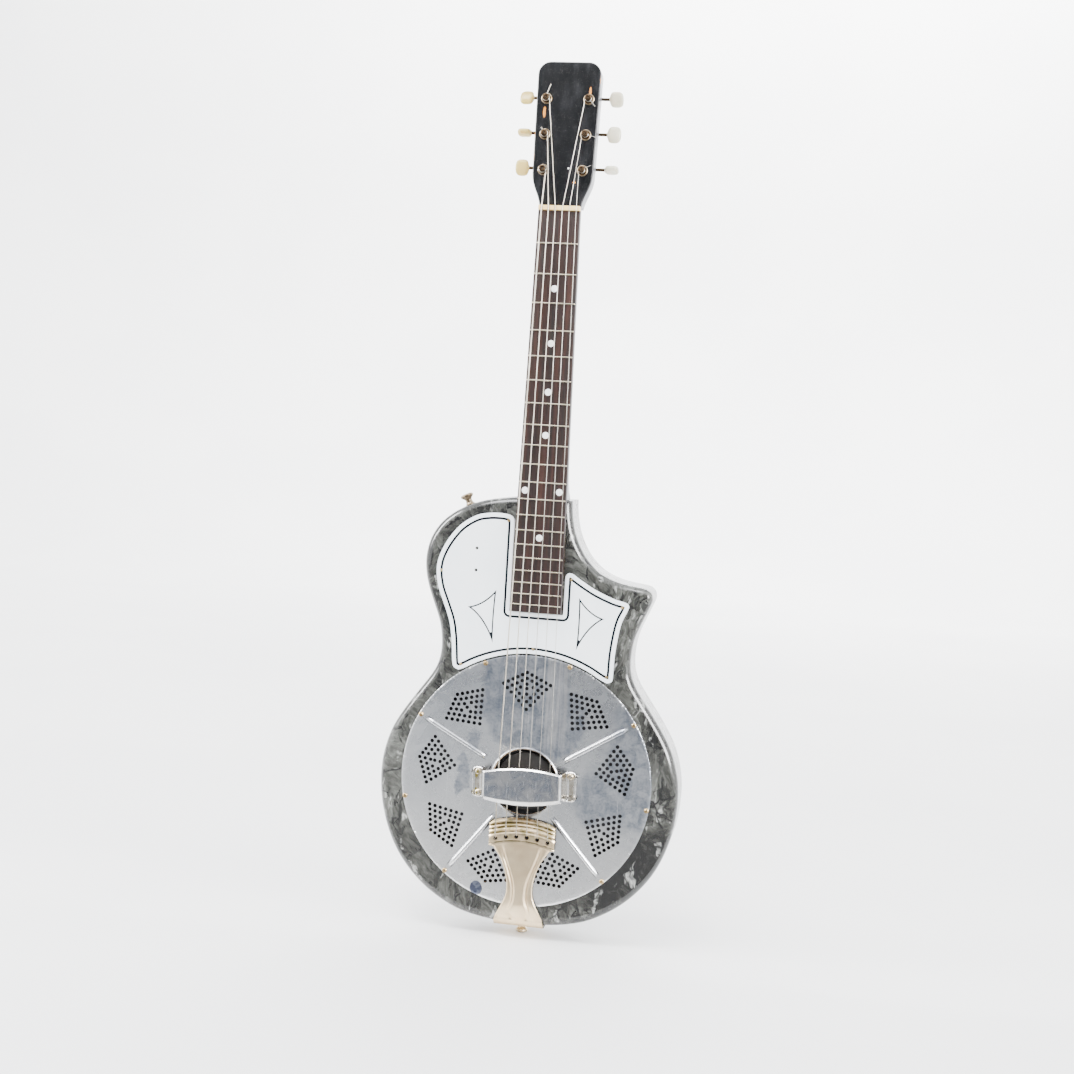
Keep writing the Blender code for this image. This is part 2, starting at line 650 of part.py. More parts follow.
def build_screws(finishes):
    """The cover plate's nine screws and the hand rest's three. The rest's fourth hole is empty."""
    rim_seat = cover_height(RIM_SCREW_CIRCLE) + GAP
    rest_seat = REST_STATIONS[0][1] + GAP
    for number, angle in enumerate(RIM_SCREW_ANGLES, 1):
        x, z = circle_point(angle, RIM_SCREW_CIRCLE)
        round_screw(f"rim_screw_{number}", x, z, rim_seat, RIM_SCREW_LENGTH, finishes["brass_screw"])
    for number, (x, z) in enumerate(rest_screw_places()[:3], 1):
        round_screw(f"rest_screw_{number}", x, z, rest_seat, REST_SCREW_LENGTH, finishes["screw"])


def build_hand_rest(finishes, rest_holes):
    stations = [(-x, height, half) for x, height, half in REST_STATIONS]
    stations += list(reversed(REST_STATIONS))[1:]
    bevels = {-1.0: REST_TAIL_BEVEL, 1.0: REST_TOP_BEVEL}
    foot_height = REST_STATIONS[0][1]
    top_height = REST_STATIONS[-1][1]
    rows = []
    for x, height, half in stations:
        raised = (height - foot_height) / (top_height - foot_height)
        row = []
        for share in REST_SHARES:
            px, pz = rest_point(x, REST_MIDDLE_Z + half * share)
            row.append((px, -height + bevels.get(share, 0.0) * raised, pz))
        rows.append(row)
    hand_rest = sheet("hand_rest", rows, REST_SHEET, finishes["chrome"])
    combine(hand_rest, rest_holes)


def build_tailpiece(finishes):
    columns = [column / 4 for column in range(-4, 5)]
    fade_start, fade_length = TAIL_CROWN_FADE
    rows = []
    for z, y, half in TAIL_SURFACE:
        crown = TAIL_CROWN * min(max((z - fade_start) / fade_length, 0.0), 1.0)
        rows.append([(half * column, y, z - crown * (half * column) ** 2) for column in columns])
    tailpiece = sheet("tailpiece", rows, TAIL_SHEET, finishes["nickel"])
    holes = []
    for number in range(1, 7):
        x, z = tail_hole(number)
        holes.append(rod((x, -12, z), (x, -2, z), TAIL_HOLE_RADIUS, 10))
    combine(tailpiece, joined_tool("string_holes", holes))
    lip_hole = rod((0, STRAP_DEPTH, -156), (0, STRAP_DEPTH, -140), END_BUTTON_HOLE_RADIUS)
    combine(tailpiece, joined_tool("lip_hole", [lip_hole]))


def build_buttons_and_bolt(finishes):
    end_profile = [(radius, -END_BUTTON_SEAT - along) for radius, along in END_BUTTON_PROFILE]
    turned("end_button", end_profile, finishes["nickel"], 16, axis="up", place=bridge_place(0, STRAP_DEPTH, 0))
    x, z = STRAP_BUTTON_PLACE
    strap = turned("strap_button", STRAP_BUTTON_PROFILE, finishes["nickel"], 16, axis="up",
                   place=bridge_place(x, STRAP_DEPTH, z))
    strap.rotation_euler = Euler((0, math.radians(STRAP_BUTTON_TURN), 0))
    turned("neck_bolt", BOLT_PROFILE, finishes["screw"], 16, place=bridge_place(0, 0, BOLT_Z))


def worm_radius(along, angle):
    """Distance of the worm's surface from its axis: one right-handed thread."""
    lead = 2 * math.pi * GEAR_PITCH_RADIUS / GEAR_TEETH
    phase = (along / lead - angle / (2 * math.pi)) % 1.0
    from_crest = min(phase, 1.0 - phase)
    rise = min(max((0.2 - from_crest) / 0.1, 0.0), 1.0)
    return WORM_ROOT + (WORM_TIP - WORM_ROOT) * rise


def build_worm_shaft(number, finish, head_frame):
    """The shaft with its thread, from inside the inner lug out to the knob."""
    x, up = post_place(number)
    side = 1 if x > 0 else -1
    around = 10
    steps = 18
    stations = [(SHAFT_INNER_END, False), (-WORM_HALF_LENGTH - GAP, False)]
    for step in range(steps + 1):
        stations.append((-WORM_HALF_LENGTH + 2 * WORM_HALF_LENGTH * step / steps, True))
    stations += [(WORM_HALF_LENGTH + GAP, False), (KNOB_START - GAP - abs(x), False)]
    sections = []
    for distance, threaded in stations:
        along = distance * side
        section = []
        for corner in range(around):
            angle = 2 * math.pi * corner / around
            radius = worm_radius(along, angle) if threaded else SHAFT_RADIUS
            section.append((along, radius * math.cos(angle), radius * math.sin(angle)))
        sections.append(section)
    place = Vector((x, GEAR_DEPTH, up + GEAR_PITCH_RADIUS + WORM_PITCH_RADIUS)) * MM
    loft(f"worm_shaft_{number}", sections, finish, place=place, parent=head_frame)


def build_knob(number, finish, head_frame):
    x, up = post_place(number)
    side = 1 if x > 0 else -1
    sections = []
    for along, broad, thick in KNOB_STATIONS:
        section = []
        for corner in range(KNOB_SIDES):
            angle = 2 * math.pi * corner / KNOB_SIDES
            section.append((side * along, thick * math.cos(angle), broad * math.sin(angle)))
        sections.append(section)
    place = Vector((side * KNOB_START, GEAR_DEPTH, up + GEAR_PITCH_RADIUS + WORM_PITCH_RADIUS)) * MM
    knob = loft(f"tuner_button_{number}", sections, finish, place=place, parent=head_frame)
    knob.rotation_euler = Euler((math.radians(KNOB_TURNS[number]), 0, 0))


def gear_mesh():
    """Points and faces of the post's gear: slanted teeth that stand in the worm's thread at rest."""
    lead = 2 * math.pi * GEAR_PITCH_RADIUS / GEAR_TEETH
    slope = lead / (2 * math.pi) / WORM_PITCH_RADIUS / GEAR_PITCH_RADIUS
    points = []
    for back in (-GEAR_HALF_THICKNESS, GEAR_HALF_THICKNESS):
        for index in range(GEAR_TEETH):
            for offset, radius in GEAR_TOOTH:
                angle = (lead * 0.25 + index * lead + offset) / GEAR_PITCH_RADIUS + slope * back
                points.append((radius * math.sin(angle), GEAR_DEPTH + back, radius * math.cos(angle)))
    count = GEAR_TEETH * len(GEAR_TOOTH)
    faces = [list(range(count)), list(range(count, 2 * count))]
    for index in range(count):
        after = (index + 1) % count
        faces.append([index, after, count + after, count + index])
    return points, faces


def build_post(number, finish, head_frame):
    x, up = post_place(number)
    place = Vector((x, 0, up)) * MM
    post = turned(f"string_post_{number}", POST_PROFILE, finish, 10, place=place, parent=head_frame)
    combine(post, joined_tool(f"gear_{number}", [gear_mesh()], head_frame, place), "UNION")


def build_tuner_plate(name, numbers, finish, head_frame):
    """Strip of sheet metal with two bearing lugs for each worm shaft."""
    side = 1 if post_place(numbers[0])[0] > 0 else -1
    low = POST_FIRST - PLATE_BELOW_FIRST_POST
    high = POST_FIRST + 2 * POST_SPACING + PLATE_ABOVE_LAST_POST
    inner, outer, cut = PLATE_INNER, PLATE_OUTER, PLATE_CORNER
    outline = [(inner + cut, low), (inner, low + cut), (inner, high - cut), (inner + cut, high),
               (outer - cut, high), (outer, high - cut), (outer, low + cut), (outer - cut, low)]
    outline = [(side * x, z) for x, z in outline]
    front = HEAD_THICKNESS + GAP
    layers = [(outline, front), (outline, front + PLATE_SHEET)]
    plate = stack(name, layers, finish, place=(0, 0, 0), parent=head_frame)
    lugs, shaft_holes, post_holes = [], [], []
    for number in numbers:
        x, up = post_place(number)
        shaft_up = up + GEAR_PITCH_RADIUS + WORM_PITCH_RADIUS
        for offset in (-LUG_OFFSET, LUG_OFFSET):
            lug = x + offset
            lugs.append(block((lug - LUG_HALF_THICKNESS, front + PLATE_SHEET / 2, shaft_up - LUG_HALF_WIDTH),
                              (lug + LUG_HALF_THICKNESS, GEAR_DEPTH + 3.4, shaft_up + LUG_HALF_WIDTH)))
        start, end = (x - 9, GEAR_DEPTH, shaft_up), (x + 9, GEAR_DEPTH, shaft_up)
        shaft_holes.append(rod(start, end, SHAFT_RADIUS + SHAFT_CLEARANCE))
        post_holes.append(rod((x, front - 2, up), (x, front + 3, up), POST_HOLE_RADIUS, 12))
    combine(plate, joined_tool(f"{name}_lugs", lugs, head_frame, (0, 0, 0)), "UNION")
    combine(plate, joined_tool(f"{name}_shafts", shaft_holes, head_frame, (0, 0, 0)))
    combine(plate, joined_tool(f"{name}_posts", post_holes, head_frame, (0, 0, 0)))


def build_string(number, finish):
    radius = STRING_RADII[number]
    tail_x, tail_z = tail_hole(number)
    x, up = post_place(number)
    inner = x - math.copysign(POST_WAIST + radius + GAP, x)
    route = [
        (tail_x, -5.2, tail_z),
        (tail_x, -8.9, tail_z),
        (tail_x, -10.6, tail_z + 3.5),
        (string_x(number, BRIDGE_SPACING), -STRING_AT_SADDLE, 0.0),
        (string_x(number, NUT_SPACING), -STRING_AT_NUT, SCALE_LENGTH + 2.0),
        head_to_bridge(inner, -STRING_ON_POST, up),
    ]
    tube(f"string_{number}", route, radius, finish)


def main():
    clear_scene()
    finishes = {
        "pearloid": material("pearloid", (0.42, 0.42, 0.40), 0.22),
        "side_band": material("side_band", (0.72, 0.71, 0.69), 0.30),
        "wood": material("body_wood", (0.52, 0.36, 0.20), 0.60),
        "neck": material("neck_paint", (0.05, 0.05, 0.055), 0.35),
        "rosewood": material("rosewood", (0.11, 0.05, 0.035), 0.50),
        "bone": material("bone", (0.86, 0.80, 0.62), 0.40),
        "maple": material("maple", (0.62, 0.45, 0.26), 0.55),
        "dark_wood": material("dark_wood", (0.06, 0.045, 0.04), 0.60),
        "white_plastic": material("white_plastic", (0.86, 0.88, 0.90), 0.18),
        "cover": material("cover_metal", (0.66, 0.68, 0.71), 0.24, 1.0),
        "cone": material("spun_aluminium", (0.70, 0.70, 0.70), 0.40, 1.0),
        "chrome": material("chrome", (0.72, 0.73, 0.75), 0.12, 1.0),
        "nickel": material("aged_nickel", (0.66, 0.58, 0.46), 0.28, 1.0),
        "screw": material("steel_screw", (0.62, 0.60, 0.56), 0.30, 1.0),
        "brass_screw": material("brass_screw", (0.66, 0.52, 0.28), 0.35, 1.0),
        "tuner": material("tuner_steel", (0.40, 0.34, 0.28), 0.40, 1.0),
        "button": material("button_plastic", (0.84, 0.80, 0.68), 0.28),
        "string": material("string_steel", (0.62, 0.60, 0.57), 0.30, 1.0),
    }
    head_frame = bpy.data.objects.new("head_frame", None)
    bpy.context.collection.objects.link(head_frame)
    head_frame.matrix_world = (Matrix.Translation(bridge_place(0, -HEAD_FACE, SCALE_LENGTH))
                               @ Matrix.Rotation(-HEAD_TILT, 4, "X"))
    screw_holes = screw_hole_tool()
    rest_holes = rest_hole_tool()
    bolt_hole = build_body(finishes, screw_holes)
    build_neck(finishes, head_frame, bolt_hole)
    build_board(finishes)
    build_nut_and_saddle(finishes)
    build_pickguard(finishes)
    build_resonator(finishes, screw_holes, rest_holes)
    build_hand_rest(finishes, rest_holes)
    build_tailpiece(finishes)
    build_screws(finishes)
    build_buttons_and_bolt(finishes)
    build_tuner_plate("tuner_plate_treble", (1, 2, 3), finishes["tuner"], head_frame)
    build_tuner_plate("tuner_plate_bass", (6, 5, 4), finishes["tuner"], head_frame)
    for number in range(1, 7):
        build_worm_shaft(number, finishes["tuner"], head_frame)
        build_knob(number, finishes["button"], head_frame)
        build_post(number, finishes["tuner"], head_frame)
        build_string(number, finishes["string"])


main()
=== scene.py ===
"""Looks of the resonator guitar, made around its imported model.
Lengths are in millimetres and become metres where meshes are made.
Body pieces are drawn from the bridge line: x to the treble side, y to the back, z towards the headstock.
Tuner pieces are drawn in the headstock's frame: x as before, y behind its face, z up from the nut."""

import json
import math

import bmesh
import bpy
from mathutils import Matrix, Vector
from mathutils.geometry import delaunay_2d_cdt


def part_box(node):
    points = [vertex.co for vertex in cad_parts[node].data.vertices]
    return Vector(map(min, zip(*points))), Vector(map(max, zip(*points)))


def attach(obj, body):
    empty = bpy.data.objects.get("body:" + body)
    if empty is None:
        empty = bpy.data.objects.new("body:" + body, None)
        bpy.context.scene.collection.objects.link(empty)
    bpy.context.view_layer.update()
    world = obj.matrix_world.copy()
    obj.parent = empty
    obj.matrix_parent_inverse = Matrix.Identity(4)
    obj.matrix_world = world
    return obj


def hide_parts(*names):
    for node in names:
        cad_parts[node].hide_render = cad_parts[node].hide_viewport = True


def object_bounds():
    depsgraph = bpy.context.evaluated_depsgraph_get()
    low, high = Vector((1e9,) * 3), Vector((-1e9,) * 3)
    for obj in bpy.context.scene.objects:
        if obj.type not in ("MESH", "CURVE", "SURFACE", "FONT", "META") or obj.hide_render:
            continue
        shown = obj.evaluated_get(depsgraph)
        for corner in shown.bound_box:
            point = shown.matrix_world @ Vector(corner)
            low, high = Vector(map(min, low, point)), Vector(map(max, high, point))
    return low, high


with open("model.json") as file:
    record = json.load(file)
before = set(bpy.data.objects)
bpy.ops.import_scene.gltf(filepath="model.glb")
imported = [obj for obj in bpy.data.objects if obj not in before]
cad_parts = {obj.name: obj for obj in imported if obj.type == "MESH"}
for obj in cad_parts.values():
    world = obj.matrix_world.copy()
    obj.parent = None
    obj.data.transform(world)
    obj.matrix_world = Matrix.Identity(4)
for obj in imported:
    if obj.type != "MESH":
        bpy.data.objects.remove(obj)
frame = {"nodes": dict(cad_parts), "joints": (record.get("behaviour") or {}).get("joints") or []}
cad_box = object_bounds()

MM = 0.001
GAP = 0.3
ROOT = "instrument"


def box_mm(node):
    """Lowest and highest corner of a node, in millimetres from the bridge line."""
    low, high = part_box(node)
    return (low - BRIDGE_LINE) / MM, (high - BRIDGE_LINE) / MM


# Places and sizes read from the frame
BRIDGE_LINE = Vector((0, 0, sum(corner.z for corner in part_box("saddle")) / 2))
COVER_LOW, COVER_HIGH = box_mm("coverplate")
COVER_X = (COVER_LOW.x + COVER_HIGH.x) / 2
COVER_Z = (COVER_LOW.z + COVER_HIGH.z) / 2
COVER_RADIUS = (COVER_HIGH.x - COVER_LOW.x) / 2
BOARD_LOW, BOARD_HIGH = box_mm("fingerboard")
SCALE_LENGTH = BOARD_HIGH.z
BODY_DEPTH = box_mm("back_cover")[1].y
HINGES = {hinge["name"]: hinge for hinge in frame["joints"]}
POST_AXIS = Vector(HINGES["post_1_turn"]["axis"])
HEAD_TILT = math.atan2(POST_AXIS.z, -POST_AXIS.y)

# Front, back and side
FRONT_THICKNESS = 9.0
FRONT_EDGE = 9.0
FRONT_EDGE_DEPTH = 8.5
BACK_THICKNESS = 5.0
BACK_EDGE = 3.0
BAND_THICKNESS = 1.2
WELL_RADIUS = 119.5
POCKET_HALF_WIDTH = 20.3
POCKET_LOW, POCKET_DEPTH, POCKET_HIGH = 221.7, 38.3, 300.0
TENON_HALF_WIDTH, TENON_LOW, TENON_DEPTH, TENON_HIGH = 20.0, 222.0, 38.0, 281.0
BOLT_Z = 250.0
BOLT_HOLE = 3.3
BUTTON_Y = 25.0
BUTTON_HOLE = 2.4
SCREW_HOLE = 1.7

# Cover plate
COVER_TURN = 2.0
COVER_RIM_HEIGHT = 1.3
COVER_DOME = 2.3
COVER_SHEET = 1.0
HAND_HOLE = 32.3
RIM_SCREW_CIRCLE = 123.6
RIM_SCREW_ANGLES = (20, 60, 100, 140, 180, -140, -100, -60, -20)
FIELD_ANGLES = (0, 40, 80, 120, 160, -160, -120, -80, -40)
RIB_ANGLES = (60, 140, -140, -60)
RIB_START = 45.0
RIB_END = 117.0
RIB_HALF_WIDTH = 2.6
RIB_HEIGHT = 2.0
PERFORATION = 1.85

# Neck and headstock
BOARD_TOP = 10.4
BOARD_THICKNESS = 6.0
BOARD_NUT_WIDTH = 40.8
BOARD_SPREAD = 0.02665
FRET_COUNT = 20
FRET_HEIGHT = 1.1
FRET_HALF_WIDTH = 0.65
DOT_RADIUS = 3.3
DOT_FRETS = (3, 5, 7, 9, 12, 15)
NECK_JOINT = 280.0
NECK_TOP = GAP - (BOARD_TOP - BOARD_THICKNESS)
HEAD_FACE = 6.0
HEAD_THICKNESS = 18.0
NUT_THICKNESS = 4.3
HEAD_SIDE = ((20.6, 5.0), (21.4, 9.0), (23.4, 15.0), (26.4, 22.0), (28.7, 29.0), (29.6, 36.0))
HEAD_TOP_HALF_WIDTH = 30.9
HEAD_LENGTH = 145.3
HEAD_CORNER = 12.5
NECK_SECTIONS = (
    (575.0, 16.4, 2.2), (556.0, 15.6, 2.0), (530.0, 14.6, 2.0), (440.0, 15.2, 2.0), (350.0, 16.5, 2.0),
    (322.0, 17.6, 2.1), (305.0, 21.5, 2.4), (293.0, 30.0, 2.8), (285.0, 40.0, 3.4), (280.3, 44.6, 4.0),
)

# Tuners
GEAR_DEPTH = 23.5
GEAR_TEETH = 14
GEAR_PITCH_RADIUS = 4.68
SHAFT_UP = 7.08
SHAFT_RADIUS = 1.5
KNOB_START = 37.6
KNOB_TURNS = {1: 82.0, 2: 4.0, 3: 38.0, 4: -28.0, 5: 86.0, 6: 8.0}
POST_WAIST = 2.6
POST_HOLE = 3.5
STRING_ON_POST = 3.8
STUB_HEIGHT = 6.7
STUBS = {1: (8.8, 3.6), 2: (11.0, -4.0), 3: (7.3, -8.4), 4: (4.5, 12.0), 5: (-3.0, 4.6), 6: (-4.2, -2.6)}

# Strings
STRING_RADII = {1: 0.22, 2: 0.26, 3: 0.33, 4: 0.42, 5: 0.53, 6: 0.66}
NUT_SPACING = 6.8
BRIDGE_SPACING = 10.3
TAIL_SPACING = 10.5
STRING_AT_NUT = 12.4
STRING_AT_SADDLE = 17.0

# Tailpiece: place along the strings, height and half-width of its outer surface
TAIL_SURFACE = (
    (-36.3, -5.9, 29.0), (-37.4, -7.9, 31.5), (-39.0, -9.3, 33.0), (-41.0, -7.6, 33.0), (-42.9, -9.3, 33.0),
    (-44.9, -7.6, 33.0), (-47.2, -9.3, 33.0), (-49.6, -7.6, 33.0), (-52.4, -8.8, 33.0), (-57.0, -8.4, 33.0),
    (-59.2, -7.8, 32.9), (-61.0, -8.2, 32.6), (-63.6, -7.5, 28.5),
    (-70.0, -6.4, 25.4), (-80.0, -5.6, 20.2), (-90.0, -5.3, 16.2), (-100.0, -5.1, 13.8), (-108.0, -5.0, 13.0),
    (-116.0, -5.0, 13.8), (-124.0, -5.0, 16.8), (-131.0, -3.9, 20.2), (-138.0, -2.3, 23.6),
    (-143.3, -0.7, 24.9),
    (-147.2, 3.4, 25.0), (-148.8, 9.0, 25.0), (-148.8, 34.0, 25.0),
)
TAIL_SHEET = 1.4
TAIL_CROWN = 0.0052
TAIL_HOLE_LINE = -55.0
TAIL_VALLEYS = (-41.0, -44.9, -49.6, -59.2)

# Pickguard
GUARD_THICKNESS = 1.8
GUARD_LINE_NEAR, GUARD_LINE_FAR = 3.95, 6.25
GUARD_TRIANGLES = (((-68.9, 168.7), (-41.1, 187.4), (-41.9, 134.5)),
                   ((67.6, 166.7), (41.7, 185.8), (41.7, 133.8)))
GUARD_TRIANGLE_LINE = 1.4
GUARD_HOLES = ((-63.1, 227.3), (-62.8, 205.5))
GUARD_PINS = ((-97.9, 202.9), (-33.0, 256.4), (32.6, 202.7), (84.4, 179.1), (73.3, 110.0), (-72.8, 110.8),
              (-0.9, 131.2))

# Hand rest: distance from its middle, height and half-length across
REST_STATIONS = (
    (52.4, 4.8, 9.6), (52.1, 5.5, 11.4), (51.5, 5.8, 12.8), (50.7, 5.2, 13.9), (49.6, 4.7, 14.6),
    (48.4, 4.7, 15.0),
    (44.6, 4.7, 15.0), (43.6, 5.7, 14.9), (42.6, 5.5, 14.6), (42.0, 5.9, 14.4), (40.6, 12.0, 14.2),
    (39.4, 19.6, 14.2), (37.4, 22.0, 14.4), (24.0, 22.0, 16.9), (10.0, 22.0, 18.3), (0.0, 22.0, 18.6),
)
REST_FOOT_HEIGHT = 4.9
REST_MIDDLE_Z = -2.0
REST_SHEET = 1.2
REST_FOOT_X = 46.3
REST_SCREW_OFFSET = 10.5
REST_FOLD = 1.2
REST_SHARES = (-1.0, -0.97, -0.94, -0.91, -0.88, -0.82, -0.755, -0.725, -0.7, -0.6, -0.4, -0.2, 0.0,
               0.2, 0.4, 0.6, 0.75, 0.84, 0.88, 0.9, 0.92, 0.94, 0.97, 1.0)

BRIDGE = Matrix.Translation(BRIDGE_LINE) @ Matrix.Scale(MM, 4)
HEAD = (Matrix.Translation(BRIDGE_LINE + Vector((0, -HEAD_FACE, SCALE_LENGTH)) * MM)
        @ Matrix.Rotation(-HEAD_TILT, 4, "X") @ Matrix.Scale(MM, 4))


# Shapes: points and faces in millimetres

def stack(layers):
    """A plate made of equal outlines at successive depths, each a pair of outline and y."""
    count = len(layers[0][0])
    points = [(x, y, z) for outline, y in layers for x, z in outline]
    faces = [list(range(count)), list(range(len(points) - count, len(points)))]
    for layer in range(len(layers) - 1):
        near, far = layer * count, (layer + 1) * count
        for index in range(count):
            after = (index + 1) % count
            faces.append((near + index, near + after, far + after, far + index))
    return points, faces


def loft(sections, closed=False):
    """A body through closed sections with equal point counts, ended flat or joined into a ring."""
    count = len(sections[0])
    points = [tuple(point) for section in sections for point in section]
    faces = []
    if not closed:
        faces = [list(range(count)), list(range(len(points) - count, len(points)))]
    for row in range(len(sections) - (0 if closed else 1)):
        near, far = row * count, (row + 1) % len(sections) * count
        for index in range(count):
            after = (index + 1) % count
            faces.append((near + index, near + after, far + after, far + index))
    return points, faces


def turned(profile, segments=48, axis="front"):
    """A body of revolution from (radius, distance) pairs. Where no point is on the axis it is a ring."""
    points, rings, faces = [], [], []
    for radius, along in profile:
        count = segments if radius > 0 else 1
        rings.append([len(points) + index for index in range(count)])
        for index in range(count):
            angle = 2 * math.pi * index / segments
            across, up = radius * math.cos(angle), radius * math.sin(angle)
            points.append({"front": (across, -along, up), "side": (along, across, up),
                           "up": (across, up, along)}[axis])
    pairs = list(zip(rings, rings[1:]))
    if profile[0][0] > 0:
        pairs.append((rings[-1], rings[0]))
    for first, second in pairs:
        for index in range(segments):
            after = (index + 1) % segments
            corners = [first[index % len(first)], first[after % len(first)],
                       second[after % len(second)], second[index % len(second)]]
            faces.append(list(dict.fromkeys(corners)))
    return points, faces


def rod(start, end, radius, sides=24):
    start, end = Vector(start), Vector(end)
    turn = (end - start).to_track_quat("Z", "Y").to_matrix()
    points = []
    for centre in (start, end):
        for index in range(sides):
            angle = 2 * math.pi * (index + 0.5) / sides
            across = Vector((radius * math.cos(angle), radius * math.sin(angle), 0))
            points.append(tuple(centre + turn @ across))
    faces = [list(range(sides)), list(range(sides, 2 * sides))]
    for index in range(sides):
        after = (index + 1) % sides
        faces.append([index, after, sides + after, sides + index])
    return points, faces


def block(low, high):
    points = [(x, y, z) for x in (low[0], high[0]) for y in (low[1], high[1]) for z in (low[2], high[2])]
    return points, [[0, 1, 3, 2], [4, 6, 7, 5], [0, 4, 5, 1], [2, 3, 7, 6], [0, 2, 6, 4], [1, 5, 7, 3]]


def joined(shapes):
    points, faces = [], []
    for shape_points, shape_faces in shapes:
        base = len(points)
        points += [tuple(point) for point in shape_points]
        faces += [[base + corner for corner in face] for face in shape_faces]
    return points, faces


def moved(shape, shift=(0, 0, 0), turn=None):
    points, faces = shape
    matrix = Matrix.Translation(shift) @ (turn or Matrix.Identity(4))
    return [tuple(matrix @ Vector(point)) for point in points], faces


def tube(route, radius, sides=12):
    """Round wire along a route; a radius may be given for each point."""
    radii = radius if isinstance(radius, (list, tuple)) else [radius] * len(route)
    points = [Vector(point) for point in route]
    side = None
    sections = []
    for index, here in enumerate(points):
        along = (points[min(index + 1, len(points) - 1)] - points[max(index - 1, 0)]).normalized()
        if side is None:
            side = along.orthogonal()
        side = (side - along * side.dot(along)).normalized()
        up = along.cross(side)
        ring = []
        for corner in range(sides):
            angle = 2 * math.pi * corner / sides
            ring.append(here + (side * math.cos(angle) + up * math.sin(angle)) * radii[index])
        sections.append(ring)
    return loft(sections)


def rounded(route, reach=1.5, steps=5):
    """The route with each corner replaced by a short curve."""
    points = [Vector(point) for point in route]
    result = [points[0]]
    for before, here, after in zip(points, points[1:], points[2:]):
        start = here + (before - here).normalized() * min(reach, (before - here).length * 0.45)
        end = here + (after - here).normalized() * min(reach, (after - here).length * 0.45)
        for step in range(steps + 1):
            t = step / steps
            result.append(start * (1 - t) ** 2 + here * 2 * t * (1 - t) + end * t * t)
    result.append(points[-1])
    return result


def smooth_run(points, steps=4):
    """Catmull-Rom curve through the points of an open run, of any dimension."""
    padded = [points[0], *points, points[-1]]
    run = []
    for index in range(len(points) - 1):
        before, start, end, after = (Vector(point) for point in padded[index:index + 4])
        for step in range(steps):
            t = step / steps
            point = (2 * start + (end - before) * t + (2 * before - 5 * start + 4 * end - after) * t * t
                     + (3 * start - before - 3 * end + after) * t ** 3)
            run.append(tuple(0.5 * point))
    run.append(tuple(points[-1]))
    return run


def refined(outline, steps, corner=40.0):
    """A closed outline made finer along a smooth curve. Its sharp corners and long straights stay."""
    count = len(outline)
    points = [Vector(point) for point in outline]
    runs = [points[(index + 1) % count] - points[index] for index in range(count)]
    leaving, arriving = [], []
    for index in range(count):
        before, after = runs[index - 1], runs[index]
        if before.angle(after) > math.radians(corner):
            arriving.append(before.normalized())
            leaving.append(after.normalized())
        else:
            arriving.append((before + after).normalized())
            leaving.append(arriving[-1])
    result = []
    for index in range(count):
        start, end = points[index], points[(index + 1) % count]
        length = (end - start).length
        first, second = leaving[index] * length, arriving[(index + 1) % count] * length
        for step in range(steps):
            t = step / steps
            point = (start * (2 * t ** 3 - 3 * t * t + 1) + first * (t ** 3 - 2 * t * t + t)
                     + end * (3 * t * t - 2 * t ** 3) + second * (t ** 3 - t * t))
            result.append((point.x, point.y))
    return result


def inset(outline, distance):
    """A clockwise outline moved inwards, by one distance or by one for each point."""
    count = len(outline)
    distances = distance if isinstance(distance, list) else [distance] * count
    result = []
    for index, point in enumerate(outline):
        here = Vector(point)
        arriving = (here - Vector(outline[index - 1])).normalized()
        leaving = (Vector(outline[(index + 1) % count]) - here).normalized()
        first = Vector((arriving.y, -arriving.x))
        second = Vector((leaving.y, -leaving.x))
        shift = (first + second) / max(1.0 + first.dot(second), 0.35)
        result.append(tuple(here + shift * distances[index]))
    return result


def parallel(outline, distance):
    """A line at one distance inside a clockwise outline, rounded where the outline turns outwards."""
    count = len(outline)
    corners = [Vector(point) for point in outline]
    found = []
    for index, here in enumerate(corners):
        arriving = (here - corners[index - 1]).normalized()
        leaving = (corners[(index + 1) % count] - here).normalized()
        first = Vector((arriving.y, -arriving.x))
        second = Vector((leaving.y, -leaving.x))
        if arriving.cross(leaving) > 0.05:
            steps = 2 + int(arriving.angle(leaving) / 0.2)
            found += [here + first.slerp(second, step / steps) * distance for step in range(steps + 1)]
        else:
            found.append(here + (first + second) / max(1.0 + first.dot(second), 0.12) * distance)
    kept = []
    for point in found:
        clear = True
        for index, start in enumerate(corners):
            run = corners[(index + 1) % count] - start
            share = min(max((point - start).dot(run) / max(run.length_squared, 1e-9), 0.0), 1.0)
            if (point - start - run * share).length < distance * 0.998:
                clear = False
                break
        if clear and (not kept or (point - Vector(kept[-1])).length > 0.08):
            kept.append((point.x, point.y))
    return kept


# Objects

def remesh(piece, mesh, sharp=32.0):
    """Gives the piece its mesh with faces outwards and smooth shading between sharp edges."""
    work = bmesh.new()
    work.from_mesh(mesh)
    bmesh.ops.remove_doubles(work, verts=work.verts, dist=1e-7)
    bmesh.ops.recalc_face_normals(work, faces=work.faces)
    work.to_mesh(mesh)
    work.free()
    mesh.shade_smooth()
    mesh.set_sharp_from_angle(angle=math.radians(sharp))
    piece.data = mesh
    return piece


def make(name, shape, finishes, place=None, sharp=32.0):
    points, faces = shape
    mesh = bpy.data.meshes.new(name)
    mesh.from_pydata([tuple(point) for point in points], [], [list(face) for face in faces])
    mesh.transform(BRIDGE if place is None else place)
    for finish in finishes if isinstance(finishes, (list, tuple)) else [finishes]:
        mesh.materials.append(finish)
    piece = bpy.data.objects.new(name, mesh)
    bpy.context.collection.objects.link(piece)
    return remesh(piece, mesh, sharp)


